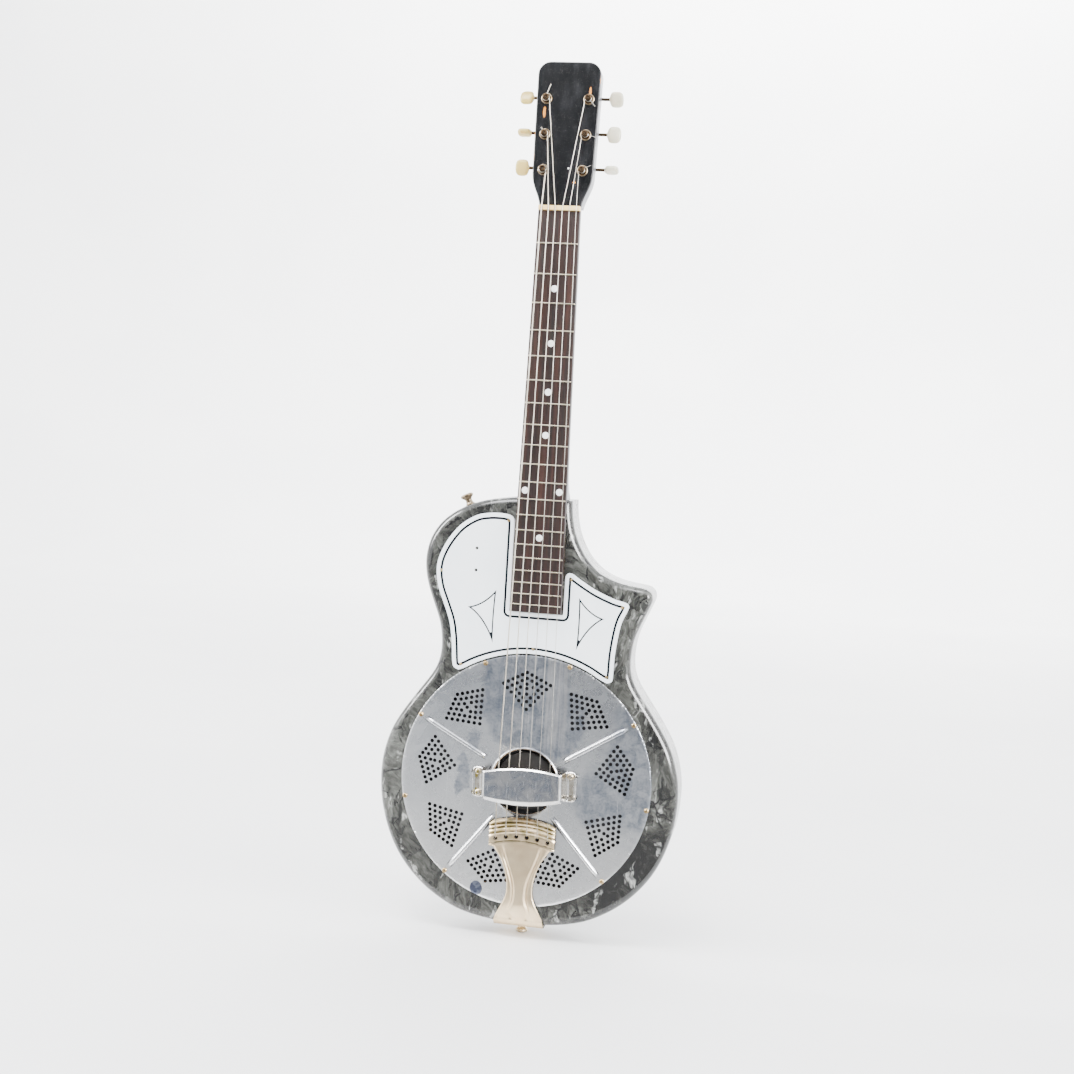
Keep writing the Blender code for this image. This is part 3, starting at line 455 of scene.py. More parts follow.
def settle(piece, sharp=32.0):
    """Turns the piece's modifiers into mesh."""
    bpy.context.view_layer.update()
    mesh = bpy.data.meshes.new_from_object(piece.evaluated_get(bpy.context.evaluated_depsgraph_get()))
    piece.modifiers.clear()
    return remesh(piece, mesh, sharp)


def combine(piece, shapes, place=None, operation="DIFFERENCE", finish_index=0, sharp=32.0):
    """Cuts shapes from a piece or adds them to it. New faces take the piece's finish of that index."""
    tool = make("tool", joined(shapes), list(piece.data.materials), place)
    for face in tool.data.polygons:
        face.material_index = finish_index
    change = piece.modifiers.new("combine", "BOOLEAN")
    change.operation = operation
    change.solver = "EXACT"
    change.object = tool
    settle(piece, sharp)
    bpy.data.objects.remove(tool, do_unlink=True)
    return piece


def bevel(piece, width, segments=3, sharp=32.0):
    change = piece.modifiers.new("bevel", "BEVEL")
    change.width = width * MM
    change.segments = segments
    change.limit_method = "ANGLE"
    change.angle_limit = math.radians(35)
    return settle(piece, sharp)


def thicken(piece, thickness, sharp=32.0):
    change = piece.modifiers.new("sheet", "SOLIDIFY")
    change.thickness = thickness * MM
    change.offset = -1.0
    change.use_even_offset = True
    # Rim faces take the piece's last finish; on the cover, hand rest and tailpiece that is the near-black
    # edge finish, partly painted shade.
    change.material_offset_rim = len(piece.data.materials) - 1
    return settle(piece, sharp)


def sheet_grid(name, rows, thickness, finishes, sharp=32.0):
    """Pressed sheet metal: a grid of surface points given thickness towards the body."""
    across = len(rows[0])
    points = [point for row in rows for point in row]
    faces = []
    for row in range(len(rows) - 1):
        for column in range(across - 1):
            corner = row * across + column
            faces.append((corner, corner + 1, corner + across + 1, corner + across))
    piece = make(name, (points, faces), finishes, sharp=sharp)
    if piece.data.polygons[len(faces) // 2].normal.y > 0:
        piece.data.flip_normals()
    return thicken(piece, thickness, sharp)


def fit(piece, body=ROOT, replaces=()):
    """The piece rides on a body and stands for the CAD nodes named."""
    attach(piece, body)
    if replaces:
        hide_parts(*replaces)
    return piece


def signed_area(outline):
    """Twice the outline's area, negative where it runs clockwise."""
    return sum(a[0] * b[1] - b[0] * a[1] for a, b in zip(outline, outline[1:] + outline[:1]))


def clockwise(outline):
    return outline if signed_area(outline) < 0 else outline[::-1]


def flat_loops(node, depth):
    """Outlines of a node's flat face at a depth, longest first, clockwise with x to the right and z up."""
    work = bmesh.new()
    work.from_mesh(frame["nodes"][node].data)
    bmesh.ops.remove_doubles(work, verts=work.verts, dist=1e-6)
    level = depth * MM
    flat = {face for face in work.faces
            if abs(face.normal.y) > 0.99 and abs(face.calc_center_median().y - level) < 1e-5}
    work.edges.index_update()
    rim = {edge for edge in work.edges if sum(face in flat for face in edge.link_faces) == 1}
    loops = []
    while rim:
        edge = min(rim, key=lambda candidate: candidate.index)
        rim.remove(edge)
        start, here = edge.verts
        chain = [start, here]
        while here is not start:
            edge = next(other for other in here.link_edges if other in rim)
            rim.remove(edge)
            here = edge.other_vert(here)
            chain.append(here)
        outline = []
        for corner in chain[:-1]:
            point = (corner.co - BRIDGE_LINE) / MM
            outline.append((point.x, point.z))
        loops.append((abs(signed_area(outline)), clockwise(outline)))
    work.free()
    loops.sort(key=lambda loop: loop[0], reverse=True)
    return [outline for area, outline in loops]


def circle_point(degrees, radius):
    """A point on the cover plate, the angle measured from the neck towards the treble side."""
    angle = math.radians(degrees - COVER_TURN)
    return COVER_X + radius * math.sin(angle), COVER_Z + radius * math.cos(angle)


def rest_point(x, z):
    """The hand rest sits square with the cover plate, which is turned a little."""
    turn = math.radians(COVER_TURN)
    return (COVER_X + x * math.cos(turn) - z * math.sin(turn),
            COVER_Z + x * math.sin(turn) + z * math.cos(turn))


def cover_height(radius):
    share = max(1.0 - (radius / COVER_RADIUS) ** 2, 0.0)
    return COVER_RIM_HEIGHT + COVER_DOME * share ** 0.9


def board_half_width(z):
    return (BOARD_NUT_WIDTH + (SCALE_LENGTH - z) * BOARD_SPREAD) / 2


def string_x(number, spacing):
    return (3.5 - number) * spacing


def tail_hole(number):
    x = string_x(number, TAIL_SPACING)
    return x, TAIL_HOLE_LINE - TAIL_CROWN * x * x


def post_place(number):
    """Side and distance from the nut of a string's post, in the headstock's frame."""
    local = HEAD.inverted() @ Vector(HINGES[f"post_{number}_turn"]["pos_m"])
    return local.x, local.z


def smoothstep(low, high, value):
    t = min(max((value - low) / (high - low), 0.0), 1.0)
    return t * t * (3 - 2 * t)


# Materials

class Recipe:
    """A material and the nodes that make it. Textures use the object's own metres."""

    def __init__(self, name, roughness, metallic=0.0, **sockets):
        self.material = bpy.data.materials.new(name)
        self.material.use_nodes = True
        self.tree = self.material.node_tree
        self.shader = self.tree.nodes["Principled BSDF"]
        self.set("Roughness", roughness)
        self.set("Metallic", metallic)
        for socket, value in sockets.items():
            self.set(socket.replace("_", " "), value)
        self.here = self.node("TexCoord").outputs["Object"]

    def set(self, socket, value):
        self.feed(self.shader.inputs[socket], value)

    def feed(self, socket, value):
        if isinstance(value, bpy.types.NodeSocket):
            self.tree.links.new(value, socket)
        else:
            socket.default_value = value

    def node(self, kind, inputs=None, **settings):
        made = self.tree.nodes.new("ShaderNode" + kind)
        for key, value in settings.items():
            setattr(made, key, value)
        for key, value in (inputs or {}).items():
            self.feed(made.inputs[key], value)
        return made

    def mapped(self, scale=(1, 1, 1), turn=(0, 0, 0), shift=(0, 0, 0), vector=None):
        return self.node("Mapping", {"Vector": vector or self.here, "Scale": scale, "Rotation": turn,
                                     "Location": shift}).outputs[0]

    def noise(self, scale, detail=3.0, roughness=0.5, distortion=0.0, vector=None, colour=False):
        made = self.node("TexNoise", {"Vector": vector or self.here, "Scale": scale, "Detail": detail,
                                      "Roughness": roughness, "Distortion": distortion})
        return made.outputs[1 if colour else 0]

    def maths(self, operation, first, second=0.0, third=0.0):
        return self.node("Math", {0: first, 1: second, 2: third}, operation=operation).outputs[0]

    def times(self, first, second):
        return self.maths("MULTIPLY", first, second)

    def vectors(self, operation, first, second=(0, 0, 0), scale=1.0):
        made = self.node("VectorMath", {0: first, 1: second, 3: scale}, operation=operation)
        return made.outputs["Value" if operation in ("DOT_PRODUCT", "LENGTH", "DISTANCE") else "Vector"]

    def between(self, value, low, high, start=0.0, end=1.0):
        return self.node("MapRange", {"Value": value, "From Min": low, "From Max": high, "To Min": start,
                                      "To Max": end}, interpolation_type="SMOOTHSTEP").outputs[0]

    def mix(self, factor, first, second):
        made = self.node("Mix", {0: factor, 6: colour4(first), 7: colour4(second)}, data_type="RGBA")
        return made.outputs[2]

    def ramp(self, factor, *stops):
        made = self.node("ValToRGB", {"Fac": factor})
        elements = made.color_ramp.elements
        while len(elements) < len(stops):
            elements.new(0.5)
        for element, (position, colour) in zip(elements, stops):
            element.position = position
            element.color = colour4(colour)
        return made.outputs[0]

    def axis(self, name):
        return self.node("SeparateXYZ", {0: self.here}).outputs[name]

    def bump(self, height, distance, strength=1.0):
        made = self.node("Bump", {"Height": height, "Distance": distance, "Strength": strength})
        self.set("Normal", made.outputs[0])

    def spots(self, places):
        """Distance from the nearest oval (x, z and two half sizes): 0 at its middle, 1 at its rim."""
        nearest = 10.0
        for x, z, wide, high in places:
            centre = BRIDGE @ Vector((x, 0, z))
            scale = (1 / (wide * MM), 0, 1 / (high * MM))
            local = self.mapped(scale, (0, 0, 0), (-centre.x * scale[0], 0, -centre.z * scale[2]))
            nearest = self.maths("MINIMUM", self.vectors("LENGTH", local), nearest)
        return nearest


def colour4(value):
    if isinstance(value, bpy.types.NodeSocket):
        return value
    return (*value, 1.0) if len(value) == 3 else value


def pearloid():
    """Grey celluloid pearl: smooth flakes with dark cracks, and shattered patches with bright flecks."""
    r = Recipe("pearloid", 0.15, Coat_Weight=0.3, Coat_Roughness=0.05)
    drift = r.vectors("SUBTRACT", r.noise(28.0, 2.0, colour=True), (0.5, 0.5, 0.5))
    wobble = r.vectors("SUBTRACT", r.noise(110.0, 2.0, colour=True), (0.5, 0.5, 0.5))
    place = r.vectors("ADD", r.here, r.vectors("SCALE", drift, scale=0.016))
    place = r.vectors("ADD", place, r.vectors("SCALE", wobble, scale=0.0045))
    cells = r.mapped((1.0, 1.0, 0.60), (0.0, 0.65, 0.0), vector=place)
    patches = r.noise(21.0, 2.0, 0.5)
    shattered = r.between(patches, 0.46, 0.60)
    flake = r.node("TexVoronoi", {"Vector": cells, "Scale": 44.0})
    lean = r.vectors("SUBTRACT", flake.outputs["Color"], (0.5, 0.5, 0.5))
    across = r.vectors("DOT_PRODUCT", lean, r.vectors("SUBTRACT", cells, flake.outputs["Position"]))
    spin = r.times(r.node("SeparateColor", {0: flake.outputs["Color"]}).outputs[1], 4.0)
    spun = r.node("VectorRotate", {"Vector": cells, "Center": flake.outputs["Position"],
                                   "Axis": (0.0, 1.0, 0.0),
                                   "Angle": spin}).outputs[0]
    brushed = r.noise(1.0, 5.0, 0.62, 0.6, vector=r.mapped((330.0, 330.0, 60.0), vector=spun))
    value = r.maths("MULTIPLY_ADD", across, 21.0, 0.30)
    value = r.maths("MULTIPLY_ADD", r.maths("SUBTRACT", brushed, 0.5), 1.0, value)
    torn = r.vectors("ADD", cells, r.vectors("SCALE", wobble, scale=0.006))
    chip = r.node("TexVoronoi", {"Vector": torn, "Scale": 120.0})
    chip_lean = r.vectors("SUBTRACT", chip.outputs["Color"], (0.5, 0.5, 0.5))
    chip_across = r.vectors("DOT_PRODUCT", chip_lean, r.vectors("SUBTRACT", torn, chip.outputs["Position"]))
    chip_tone = r.times(chip_across, 70.0)
    value = r.maths("MULTIPLY_ADD", chip_tone, shattered, value)
    value = r.maths("MULTIPLY_ADD", r.maths("SUBTRACT", r.noise(7.0, 2.0), 0.5), 0.5, value)
    # Painted shade darkens the lower treble side and a painted sheen lightens the bass side.
    value = r.maths("MULTIPLY_ADD", r.between(r.spots(((118.0, -95.0, 75.0, 70.0),)), 1.0, 0.5), -0.30, value)
    value = r.maths("MULTIPLY_ADD", r.between(r.spots(((-140.0, -25.0, 40.0, 75.0),)), 1.0, 0.4), 0.12, value)
    colour = r.ramp(value, (0.02, (0.008, 0.008, 0.008)), (0.24, (0.028, 0.028, 0.025)),
                    (0.42, (0.056, 0.057, 0.051)), (0.62, (0.115, 0.118, 0.108)), (0.86, (0.46, 0.465, 0.44)))
    pale = r.noise(1.0, 2.0, 0.5, 0.3, vector=r.mapped((90.0, 90.0, 36.0), (0.0, -0.75, 0.0), vector=place))
    pale = r.times(r.between(pale, 0.60, 0.66), r.between(brushed, 0.36, 0.66))
    colour = r.mix(r.times(pale, 0.70), colour, (0.40, 0.405, 0.385))
    dusk = r.noise(1.0, 2.0, 0.5, 0.3,
                   vector=r.mapped((110.0, 110.0, 40.0), (0.0, 0.45, 0.0), (0.3, 0.0, 0.7), place))
    dusk = r.times(r.between(dusk, 0.58, 0.64), 0.85)
    colour = r.mix(dusk, colour, (0.012, 0.012, 0.011))
    edge = r.node("TexVoronoi", {"Vector": cells, "Scale": 44.0}, feature="DISTANCE_TO_EDGE").outputs[0]
    crack = r.times(r.between(edge, 0.046, 0.012), r.between(r.noise(40.0, 2.0), 0.46, 0.58))
    fine = r.node("TexVoronoi", {"Vector": torn, "Scale": 120.0}, feature="DISTANCE_TO_EDGE").outputs[0]
    splinter = r.times(r.between(fine, 0.075, 0.020), shattered)
    splinter = r.times(splinter, r.between(r.noise(52.0, 2.0), 0.45, 0.58))
    colour = r.mix(r.times(r.maths("MAXIMUM", crack, splinter), 0.9), colour, (0.007, 0.007, 0.007))
    r.set("Base Color", colour)
    r.set("Roughness", r.between(brushed, 0.3, 0.7, 0.10, 0.20))
    r.bump(r.noise(38.0, 3.0), 0.0006, 0.12)
    return r.material


def plain_plastic(name, colour, shade, roughness, **sockets):
    """Polished plastic with faint handling haze."""
    r = Recipe(name, roughness, **sockets)
    cloud = r.noise(26.0, 5.0, 0.6)
    r.set("Base Color", r.mix(r.between(cloud, 0.35, 0.75), colour, shade))
    r.set("Roughness", r.between(r.noise(90.0, 4.0), 0.3, 0.8, roughness - 0.04, roughness + 0.10))
    r.bump(r.noise(240.0, 3.0), 0.0002, 0.12)
    return r.material


def cover_metal():
    """Plated sheet: bright to the bass side and the tail, hazed blue-grey elsewhere, with scratches. The
    bright and blue-grey tones are partly plating haze and partly painted reflection.
    """
    r = Recipe("cover_metal", 0.25, 1.0)
    cloud = r.noise(26.0, 6.0, 0.6, 0.5)
    # The haze masks mark the blue-grey tones: partly plating haze, partly painted reflection.
    middle = r.spots(((-7.0, 92.0, 44.0, 62.0), (20.0, 62.0, 40.0, 36.0)))
    middle = r.maths("MULTIPLY_ADD", r.maths("SUBTRACT", cloud, 0.5), 1.0, middle)
    haze = r.between(middle, 1.10, 0.90)
    blots = r.spots(((-64.0, 2.0, 8.0, 22.0), (-54.0, 36.0, 8.0, 12.0), (-40.0, 66.0, 16.0, 9.0)))
    blots = r.maths("MULTIPLY_ADD", r.maths("SUBTRACT", r.noise(95.0, 5.0, 0.6), 0.5), 2.6, blots)
    haze = r.maths("MAXIMUM", haze, r.between(blots, 1.05, 0.65))
    side = r.spots(((112.0, 28.0, 34.0, 74.0), (92.0, -12.0, 44.0, 34.0)))
    side = r.maths("MULTIPLY_ADD", r.maths("SUBTRACT", cloud, 0.5), 1.2, side)
    side_haze = r.between(side, 1.25, 0.70)
    mottle = r.between(r.noise(75.0, 8.0, 0.68, 0.8), 0.36, 0.64)
    grain = r.between(r.noise(420.0, 4.0, 0.7), 0.30, 0.70)
    streaks = r.noise(1.0, 4.0, 0.7, vector=r.mapped((330.0, 330.0, 6.0)))
    under_strings = r.times(r.between(r.maths("ABSOLUTE", r.axis("X")), 0.050, 0.030), haze)
    bright = r.mix(r.between(r.noise(9.0, 5.0, 0.6), 0.35, 0.70), (0.86, 0.865, 0.87), (0.70, 0.715, 0.735))
    dull = r.mix(mottle, (0.13, 0.17, 0.25), (0.44, 0.465, 0.505))
    colour = r.mix(r.times(haze, 0.80), bright, dull)
    colour = r.mix(r.times(side_haze, 0.80), colour, dull)
    beside = r.between(r.maths("ABSOLUTE", r.maths("SUBTRACT", r.axis("X"), 0.026)), 0.0125, 0.0085)
    beside = r.times(beside, r.between(r.axis("Z"), 0.170, 0.200))
    colour = r.mix(r.times(beside, 0.62), colour, (0.78, 0.77, 0.76))
    dark_lines = r.times(under_strings, r.between(streaks, 0.46, 0.60))
    colour = r.mix(r.times(dark_lines, 0.45), colour, (0.20, 0.24, 0.33))
    colour = r.mix(r.times(r.maths("MAXIMUM", haze, side_haze), r.times(grain, 0.28)),
                   colour, (0.85, 0.86, 0.88))
    for turn, stretch in ((0.5, 5.0), (-0.9, 9.0), (1.9, 7.0)):
        line = r.noise(1.0, 2.0, vector=r.mapped((700.0, 1.0, stretch), (0.0, turn, 0.0)))
        colour = r.mix(r.between(line, 0.735, 0.775), colour, (0.93, 0.94, 0.95))
    middle_point = BRIDGE @ Vector((COVER_X, 0, COVER_Z))
    # Painted shade with some dirt: dark lines along both flanks of each pressed rib.
    for angle in RIB_ANGLES:
        turn = math.radians(angle - COVER_TURN)
        outwards = Vector((math.sin(turn), 0, math.cos(turn)))
        sideways = Vector((math.cos(turn), 0, -math.sin(turn)))
        along = r.maths("SUBTRACT", r.vectors("DOT_PRODUCT", r.here, outwards), outwards.dot(middle_point))
        across = r.maths("SUBTRACT", r.vectors("DOT_PRODUCT", r.here, sideways), sideways.dot(middle_point))
        away = r.maths("ABSOLUTE", r.maths("SUBTRACT", r.maths("ABSOLUTE", across), 0.00225))
        on_rib = r.times(r.between(along, 0.043, 0.047), r.between(along, 0.119, 0.114))
        shade = r.times(r.between(away, 0.0009, 0.0002), on_rib)
        colour = r.mix(r.times(shade, 0.75), colour, (0.16, 0.165, 0.18))
    spot = r.maths("MULTIPLY_ADD", r.noise(150.0), 0.25, r.spots(((-44.5, -112.5, 6.5, 7.5),)))
    spot_shade = r.mix(r.between(r.noise(260.0), 0.4, 0.6), (0.10, 0.115, 0.17), (0.20, 0.22, 0.29))
    colour = r.mix(r.between(spot, 1.16, 1.04), colour, spot_shade)
    r.set("Base Color", colour)
    rough = r.maths("MULTIPLY_ADD", r.maths("MAXIMUM", haze, side_haze), 0.06, 0.24)
    r.set("Roughness", r.maths("MULTIPLY_ADD", mottle, 0.07, rough))
    r.bump(r.noise(11.0, 0.0), 0.0016, 0.16)
    return r.material


def metal(name, colour, shade, roughness, wear=0.10, scale=60.0, **sockets):
    """Plated or bare metal with cloudy tarnish."""
    r = Recipe(name, roughness, 1.0, **sockets)
    cloud = r.noise(scale, 6.0, 0.65, 0.5)
    r.set("Base Color", r.mix(r.between(cloud, 0.34, 0.70), colour, shade))
    r.set("Roughness", r.between(r.noise(scale * 2.3, 5.0), 0.3, 0.75, roughness, roughness + wear))
    r.bump(r.noise(scale * 6.0, 3.0), 0.0002, 0.15)
    return r.material


def rest_metal():
    """Chromed hand rest: blue-grey haze on its top, with fine cross scratches."""
    r = Recipe("hand_rest_chrome", 0.20, 1.0)
    cloud = r.between(r.noise(60.0, 7.0, 0.65, 0.8), 0.34, 0.66)
    colour = r.mix(cloud, (0.24, 0.265, 0.32), (0.50, 0.50, 0.505))
    inner = BRIDGE @ Vector((COVER_X, 0, 0))
    feet = r.between(r.maths("ABSOLUTE", r.maths("SUBTRACT", r.axis("X"), inner.x)), 0.0385, 0.0410)
    colour = r.mix(feet, colour, r.mix(cloud, (0.46, 0.41, 0.33), (0.78, 0.73, 0.64)))
    for turn in (0.7, -0.5, 1.3):
        line = r.noise(1.0, 2.0, vector=r.mapped((1500.0, 1500.0, 60.0), (0.0, turn, 0.0)))
        colour = r.mix(r.between(line, 0.66, 0.72), colour, (0.85, 0.86, 0.88))
    brass = r.maths("MULTIPLY_ADD", r.noise(300.0), 0.5,
                    r.spots(((-50.5, 7.0, 3.4, 8.0), (-50.0, -14.5, 3.0, 4.0))))
    colour = r.mix(r.between(brass, 1.35, 1.05), colour, (0.42, 0.34, 0.10))
    r.set("Base Color", colour)
    r.set("Roughness", r.between(cloud, 0.0, 1.0, 0.30, 0.17))
    r.bump(r.noise(200.0, 3.0), 0.0003, 0.12)
    return r.material


def tail_metal():
    """Warm aged nickel, browner in its hollows near the string holes."""
    r = Recipe("tail_nickel", 0.34, 1.0)
    cloud = r.noise(42.0, 6.0, 0.6, 0.6)
    colour = r.mix(r.between(cloud, 0.34, 0.70), (0.86, 0.70, 0.47), (0.74, 0.57, 0.36))
    stain = r.times(r.between(r.axis("Z"), 0.081, 0.096), r.between(r.noise(130.0, 5.0), 0.42, 0.62))
    colour = r.mix(r.times(stain, 0.65), colour, (0.30, 0.25, 0.09))
    crown = r.times(r.times(r.axis("X"), r.axis("X")), TAIL_CROWN / MM)
    level = r.maths("ADD", r.axis("Z"), crown)
    nearest = 1.0
    for z in TAIL_VALLEYS:
        away = r.maths("ABSOLUTE", r.maths("SUBTRACT", level, (BRIDGE @ Vector((0, 0, z))).z))
        nearest = r.maths("MINIMUM", nearest, away)
    grime = r.times(r.between(nearest, 0.0011, 0.0004), r.between(r.noise(90.0, 4.0), 0.30, 0.50))
    colour = r.mix(r.times(grime, 0.82), colour, (0.10, 0.085, 0.030))
    r.set("Base Color", colour)
    r.set("Roughness", r.between(r.noise(120.0, 5.0), 0.3, 0.7, 0.30, 0.42))
    r.bump(r.noise(420.0, 3.0), 0.0002, 0.15)
    return r.material


def wood(name, dark, mid, light, roughness, grain=(260.0, 260.0, 9.0)):
    """Grain along the neck, with short dark pores."""
    r = Recipe(name, roughness)
    bands = r.noise(1.0, 5.0, 0.6, 0.4, vector=r.mapped(grain))
    colour = r.ramp(bands, (0.30, dark), (0.50, mid), (0.72, light))
    pores = r.noise(1.0, 2.0, vector=r.mapped((grain[0] * 7, grain[1] * 7, grain[2] * 14)))
    colour = r.mix(r.times(r.between(pores, 0.60, 0.70), 0.6), colour, dark)
    r.set("Base Color", colour)
    r.set("Roughness", r.between(bands, 0.3, 0.7, roughness + 0.08, roughness - 0.06))
    r.bump(pores, 0.0003, -0.25)
    return r.material


def head_black():
    """Black paint with chips down to orange-brown wood."""
    r = Recipe("head_black", 0.32, Coat_Weight=0.06, Coat_Roughness=0.15)
    r.set("Specular IOR Level", 0.32)
    scuff = r.noise(1.0, 6.0, 0.65, vector=r.mapped((160.0, 160.0, 45.0)))
    colour = r.mix(r.between(scuff, 0.45, 0.75), (0.0030, 0.0032, 0.0040), (0.010, 0.0105, 0.0125))
    chips = r.spots(((-22.0, 654.5, 1.3, 5.6), (21.6, 675.0, 1.1, 4.4), (-30.8, 611.0, 1.5, 9.0),
                     (31.6, 686.0, 1.3, 6.0), (28.5, 581.0, 1.2, 3.0), (-31.2, 697.0, 1.6, 2.4),
                     (-30.4, 633.0, 0.8, 4.0), (12.0, 587.0, 1.6, 0.8), (32.0, 668.0, 0.7, 4.0)))
    edge = r.maths("MULTIPLY_ADD", r.noise(420.0, 4.0, 0.7), 0.9, chips)
    chipped = r.between(edge, 1.50, 1.40)
    grain = r.noise(1.0, 3.0, vector=r.mapped((900.0, 900.0, 60.0)))
    bare = r.mix(r.between(grain, 0.35, 0.65), (0.46, 0.15, 0.018), (0.72, 0.30, 0.035))
    colour = r.mix(chipped, colour, bare)
    speck = r.times(r.between(r.noise(1300.0, 2.0), 0.62, 0.70), 0.30)
    colour = r.mix(speck, colour, (0.12, 0.115, 0.105))
    dot = r.between(r.spots(((5.5, 600.5, 0.9, 0.9),)), 1.05, 0.9)
    r.set("Base Color", r.mix(dot, colour, (0.75, 0.75, 0.72)))
    r.set("Roughness", r.between(scuff, 0.3, 0.8, 0.28, 0.42))
    r.bump(r.maths("SUBTRACT", 1.0, chipped), 0.0003, 0.5)
    return r.material


def pearl_dot():
    r = Recipe("pearl_dot", 0.20)
    place = r.vectors("ADD", r.here, r.vectors("SCALE", r.noise(120.0, 2.0, colour=True), scale=0.006))
    shade = r.noise(160.0, 4.0, 0.6, 1.5, vector=place)
    r.set("Base Color", r.ramp(shade, (0.30, (0.60, 0.62, 0.60)), (0.50, (0.78, 0.79, 0.77)),
                               (0.68, (0.92, 0.92, 0.90))))
    r.bump(shade, 0.0002, 0.1)
    return r.material


def wound_wire(name, colour, shade, pitch):
    """Round wire wound with finer wire along the string."""
    r = Recipe(name, 0.32, 1.0)
    turns = r.node("TexWave", {"Vector": r.here, "Scale": pitch, "Distortion": 0.0}, wave_type="BANDS",
                   bands_direction="Z").outputs["Fac"]
    stain = r.noise(30.0, 4.0)
    r.set("Base Color", r.mix(r.between(stain, 0.35, 0.7), colour, shade))
    r.bump(turns, 0.0001, 0.4)
    return r.material


pearl = pearloid()
band_grey = plain_plastic("side_band_grey", (0.20, 0.20, 0.195), (0.15, 0.147, 0.142), 0.22)
neck_grey = plain_plastic("neck_grey_paint", (0.14, 0.14, 0.155), (0.10, 0.10, 0.108), 0.30)
guard_white = plain_plastic("guard_white", (0.78, 0.82, 0.85), (0.73, 0.775, 0.815), 0.14, Coat_Weight=0.25)
line_black = plain_plastic("engraved_black", (0.003, 0.004, 0.006), (0.007, 0.009, 0.012), 0.7,
                           Specular_IOR_Level=0.08)
# Near-black for rims, hole walls and undersides: partly bare unplated metal, partly painted shade in holes
# and along contact lines.
bare_edge_and_shade = plain_plastic("bare_edge_and_shade", (0.006, 0.005, 0.004), (0.020, 0.013, 0.008), 0.6,
                          Specular_IOR_Level=0.2)
bone = plain_plastic("aged_bone", (0.86, 0.64, 0.27), (0.72, 0.47, 0.16), 0.35, Subsurface_Weight=0.05)
cover_plate = cover_metal()
chrome_rest = rest_metal()
bright_chrome = metal("bright_chrome", (0.80, 0.80, 0.79), (0.62, 0.61, 0.59), 0.16, 0.10, 90.0)
nickel_tail = tail_metal()
black_paint = head_black()
dot_pearl = pearl_dot()
rosewood = wood("rosewood", (0.005, 0.0022, 0.0018), (0.017, 0.0062, 0.0043), (0.040, 0.0150, 0.0100), 0.42)
body_wood = wood("body_wood", (0.16, 0.09, 0.04), (0.28, 0.17, 0.085), (0.38, 0.25, 0.14), 0.55,
                 (90.0, 90.0, 7.0))
maple = wood("maple", (0.26, 0.16, 0.08), (0.38, 0.25, 0.14), (0.48, 0.34, 0.20), 0.50, (300.0, 300.0, 300.0))
dark_wood = wood("dark_wood", (0.006, 0.005, 0.005), (0.014, 0.012, 0.010), (0.026, 0.021, 0.018), 0.5,
                 (120.0, 120.0, 12.0))
fret_nickel = metal("fret_nickel", (0.58, 0.51, 0.39), (0.42, 0.36, 0.26), 0.26, 0.10, 200.0)
spun_metal = metal("spun_aluminium", (0.14, 0.14, 0.145), (0.08, 0.08, 0.085), 0.45, 0.10, 70.0)
screw_brass = metal("screw_brass", (0.64, 0.48, 0.26), (0.24, 0.155, 0.07), 0.28, 0.15, 320.0)
screw_nickel = metal("screw_nickel", (0.80, 0.70, 0.52), (0.40, 0.30, 0.17), 0.24, 0.14, 260.0)
button_brown = metal("button_brown", (0.34, 0.27, 0.19), (0.13, 0.095, 0.06), 0.30, 0.14, 260.0)
tuner_steel = metal("tuner_steel", (0.085, 0.058, 0.035), (0.030, 0.019, 0.012), 0.36, 0.18, 180.0)
ferrule_brown = metal("ferrule_brown", (0.12, 0.075, 0.040), (0.045, 0.025, 0.014), 0.38, 0.2, 300.0)
ferrule_bright = metal("ferrule_bright", (0.52, 0.42, 0.29), (0.22, 0.15, 0.08), 0.28, 0.2, 300.0)
knob_cream = plain_plastic("knob_cream", (0.52, 0.405, 0.125), (0.42, 0.305, 0.085), 0.24,
                           Subsurface_Weight=0.06)
knob_white = plain_plastic("knob_white", (0.64, 0.62, 0.49), (0.55, 0.52, 0.39), 0.24, Subsurface_Weight=0.06)
plain_wire = metal("plain_wire", (0.58, 0.55, 0.50), (0.42, 0.39, 0.34), 0.28, 0.1, 40.0)
wound = wound_wire("wound_wire", (0.56, 0.52, 0.45), (0.40, 0.36, 0.30), 620.0)
# Dark red-brown walls of the two empty guard holes.
hole_wall_brown = plain_plastic("hole_wall_brown", (0.09, 0.035, 0.025), (0.20, 0.10, 0.08), 0.6)


# Body

def body_outline():
    return refined(flat_loops("back_cover", BODY_DEPTH - BACK_THICKNESS)[0], 3)


def edge_reach(outline, radius):
    """How far in a rounded edge reaches at each point: less round the tight outward bends."""
    count = len(outline)
    span = 4
    limits = []
    for index in range(count):
        here = Vector(outline[index])
        before, after = Vector(outline[index - span]), Vector(outline[(index + span) % count])
        arriving, leaving = here - before, after - here
        bend = math.atan2(-arriving.cross(leaving), arriving.dot(leaving))
        round_radius = (arriving.length + leaving.length) / 2 / bend if bend > 1e-3 else 1e6
        limits.append(min(radius, 0.72 * round_radius))
    lowest = [min(limits[(index + shift) % count] for shift in range(-5, 6)) for index in range(count)]
    return [sum(lowest[(index + shift) % count] for shift in range(-5, 6)) / 11 for index in range(count)]


def rounded_plate(outline, radius, face, edge, far, steps=9):
    """Layers of a plate with one rounded edge, from its flat face to its other face."""
    reach = edge_reach(outline, radius)
    layers = [(inset(outline, [value + 0.8 for value in reach]), face)]
    for step in range(steps + 1):
        bend = math.pi / 2 * step / steps
        shift = [value * (1 - math.sin(bend)) for value in reach]
        layers.append((inset(outline, shift), face + (edge - face) * (1 - math.cos(bend))))
    layers.append((outline, far))
    return layers


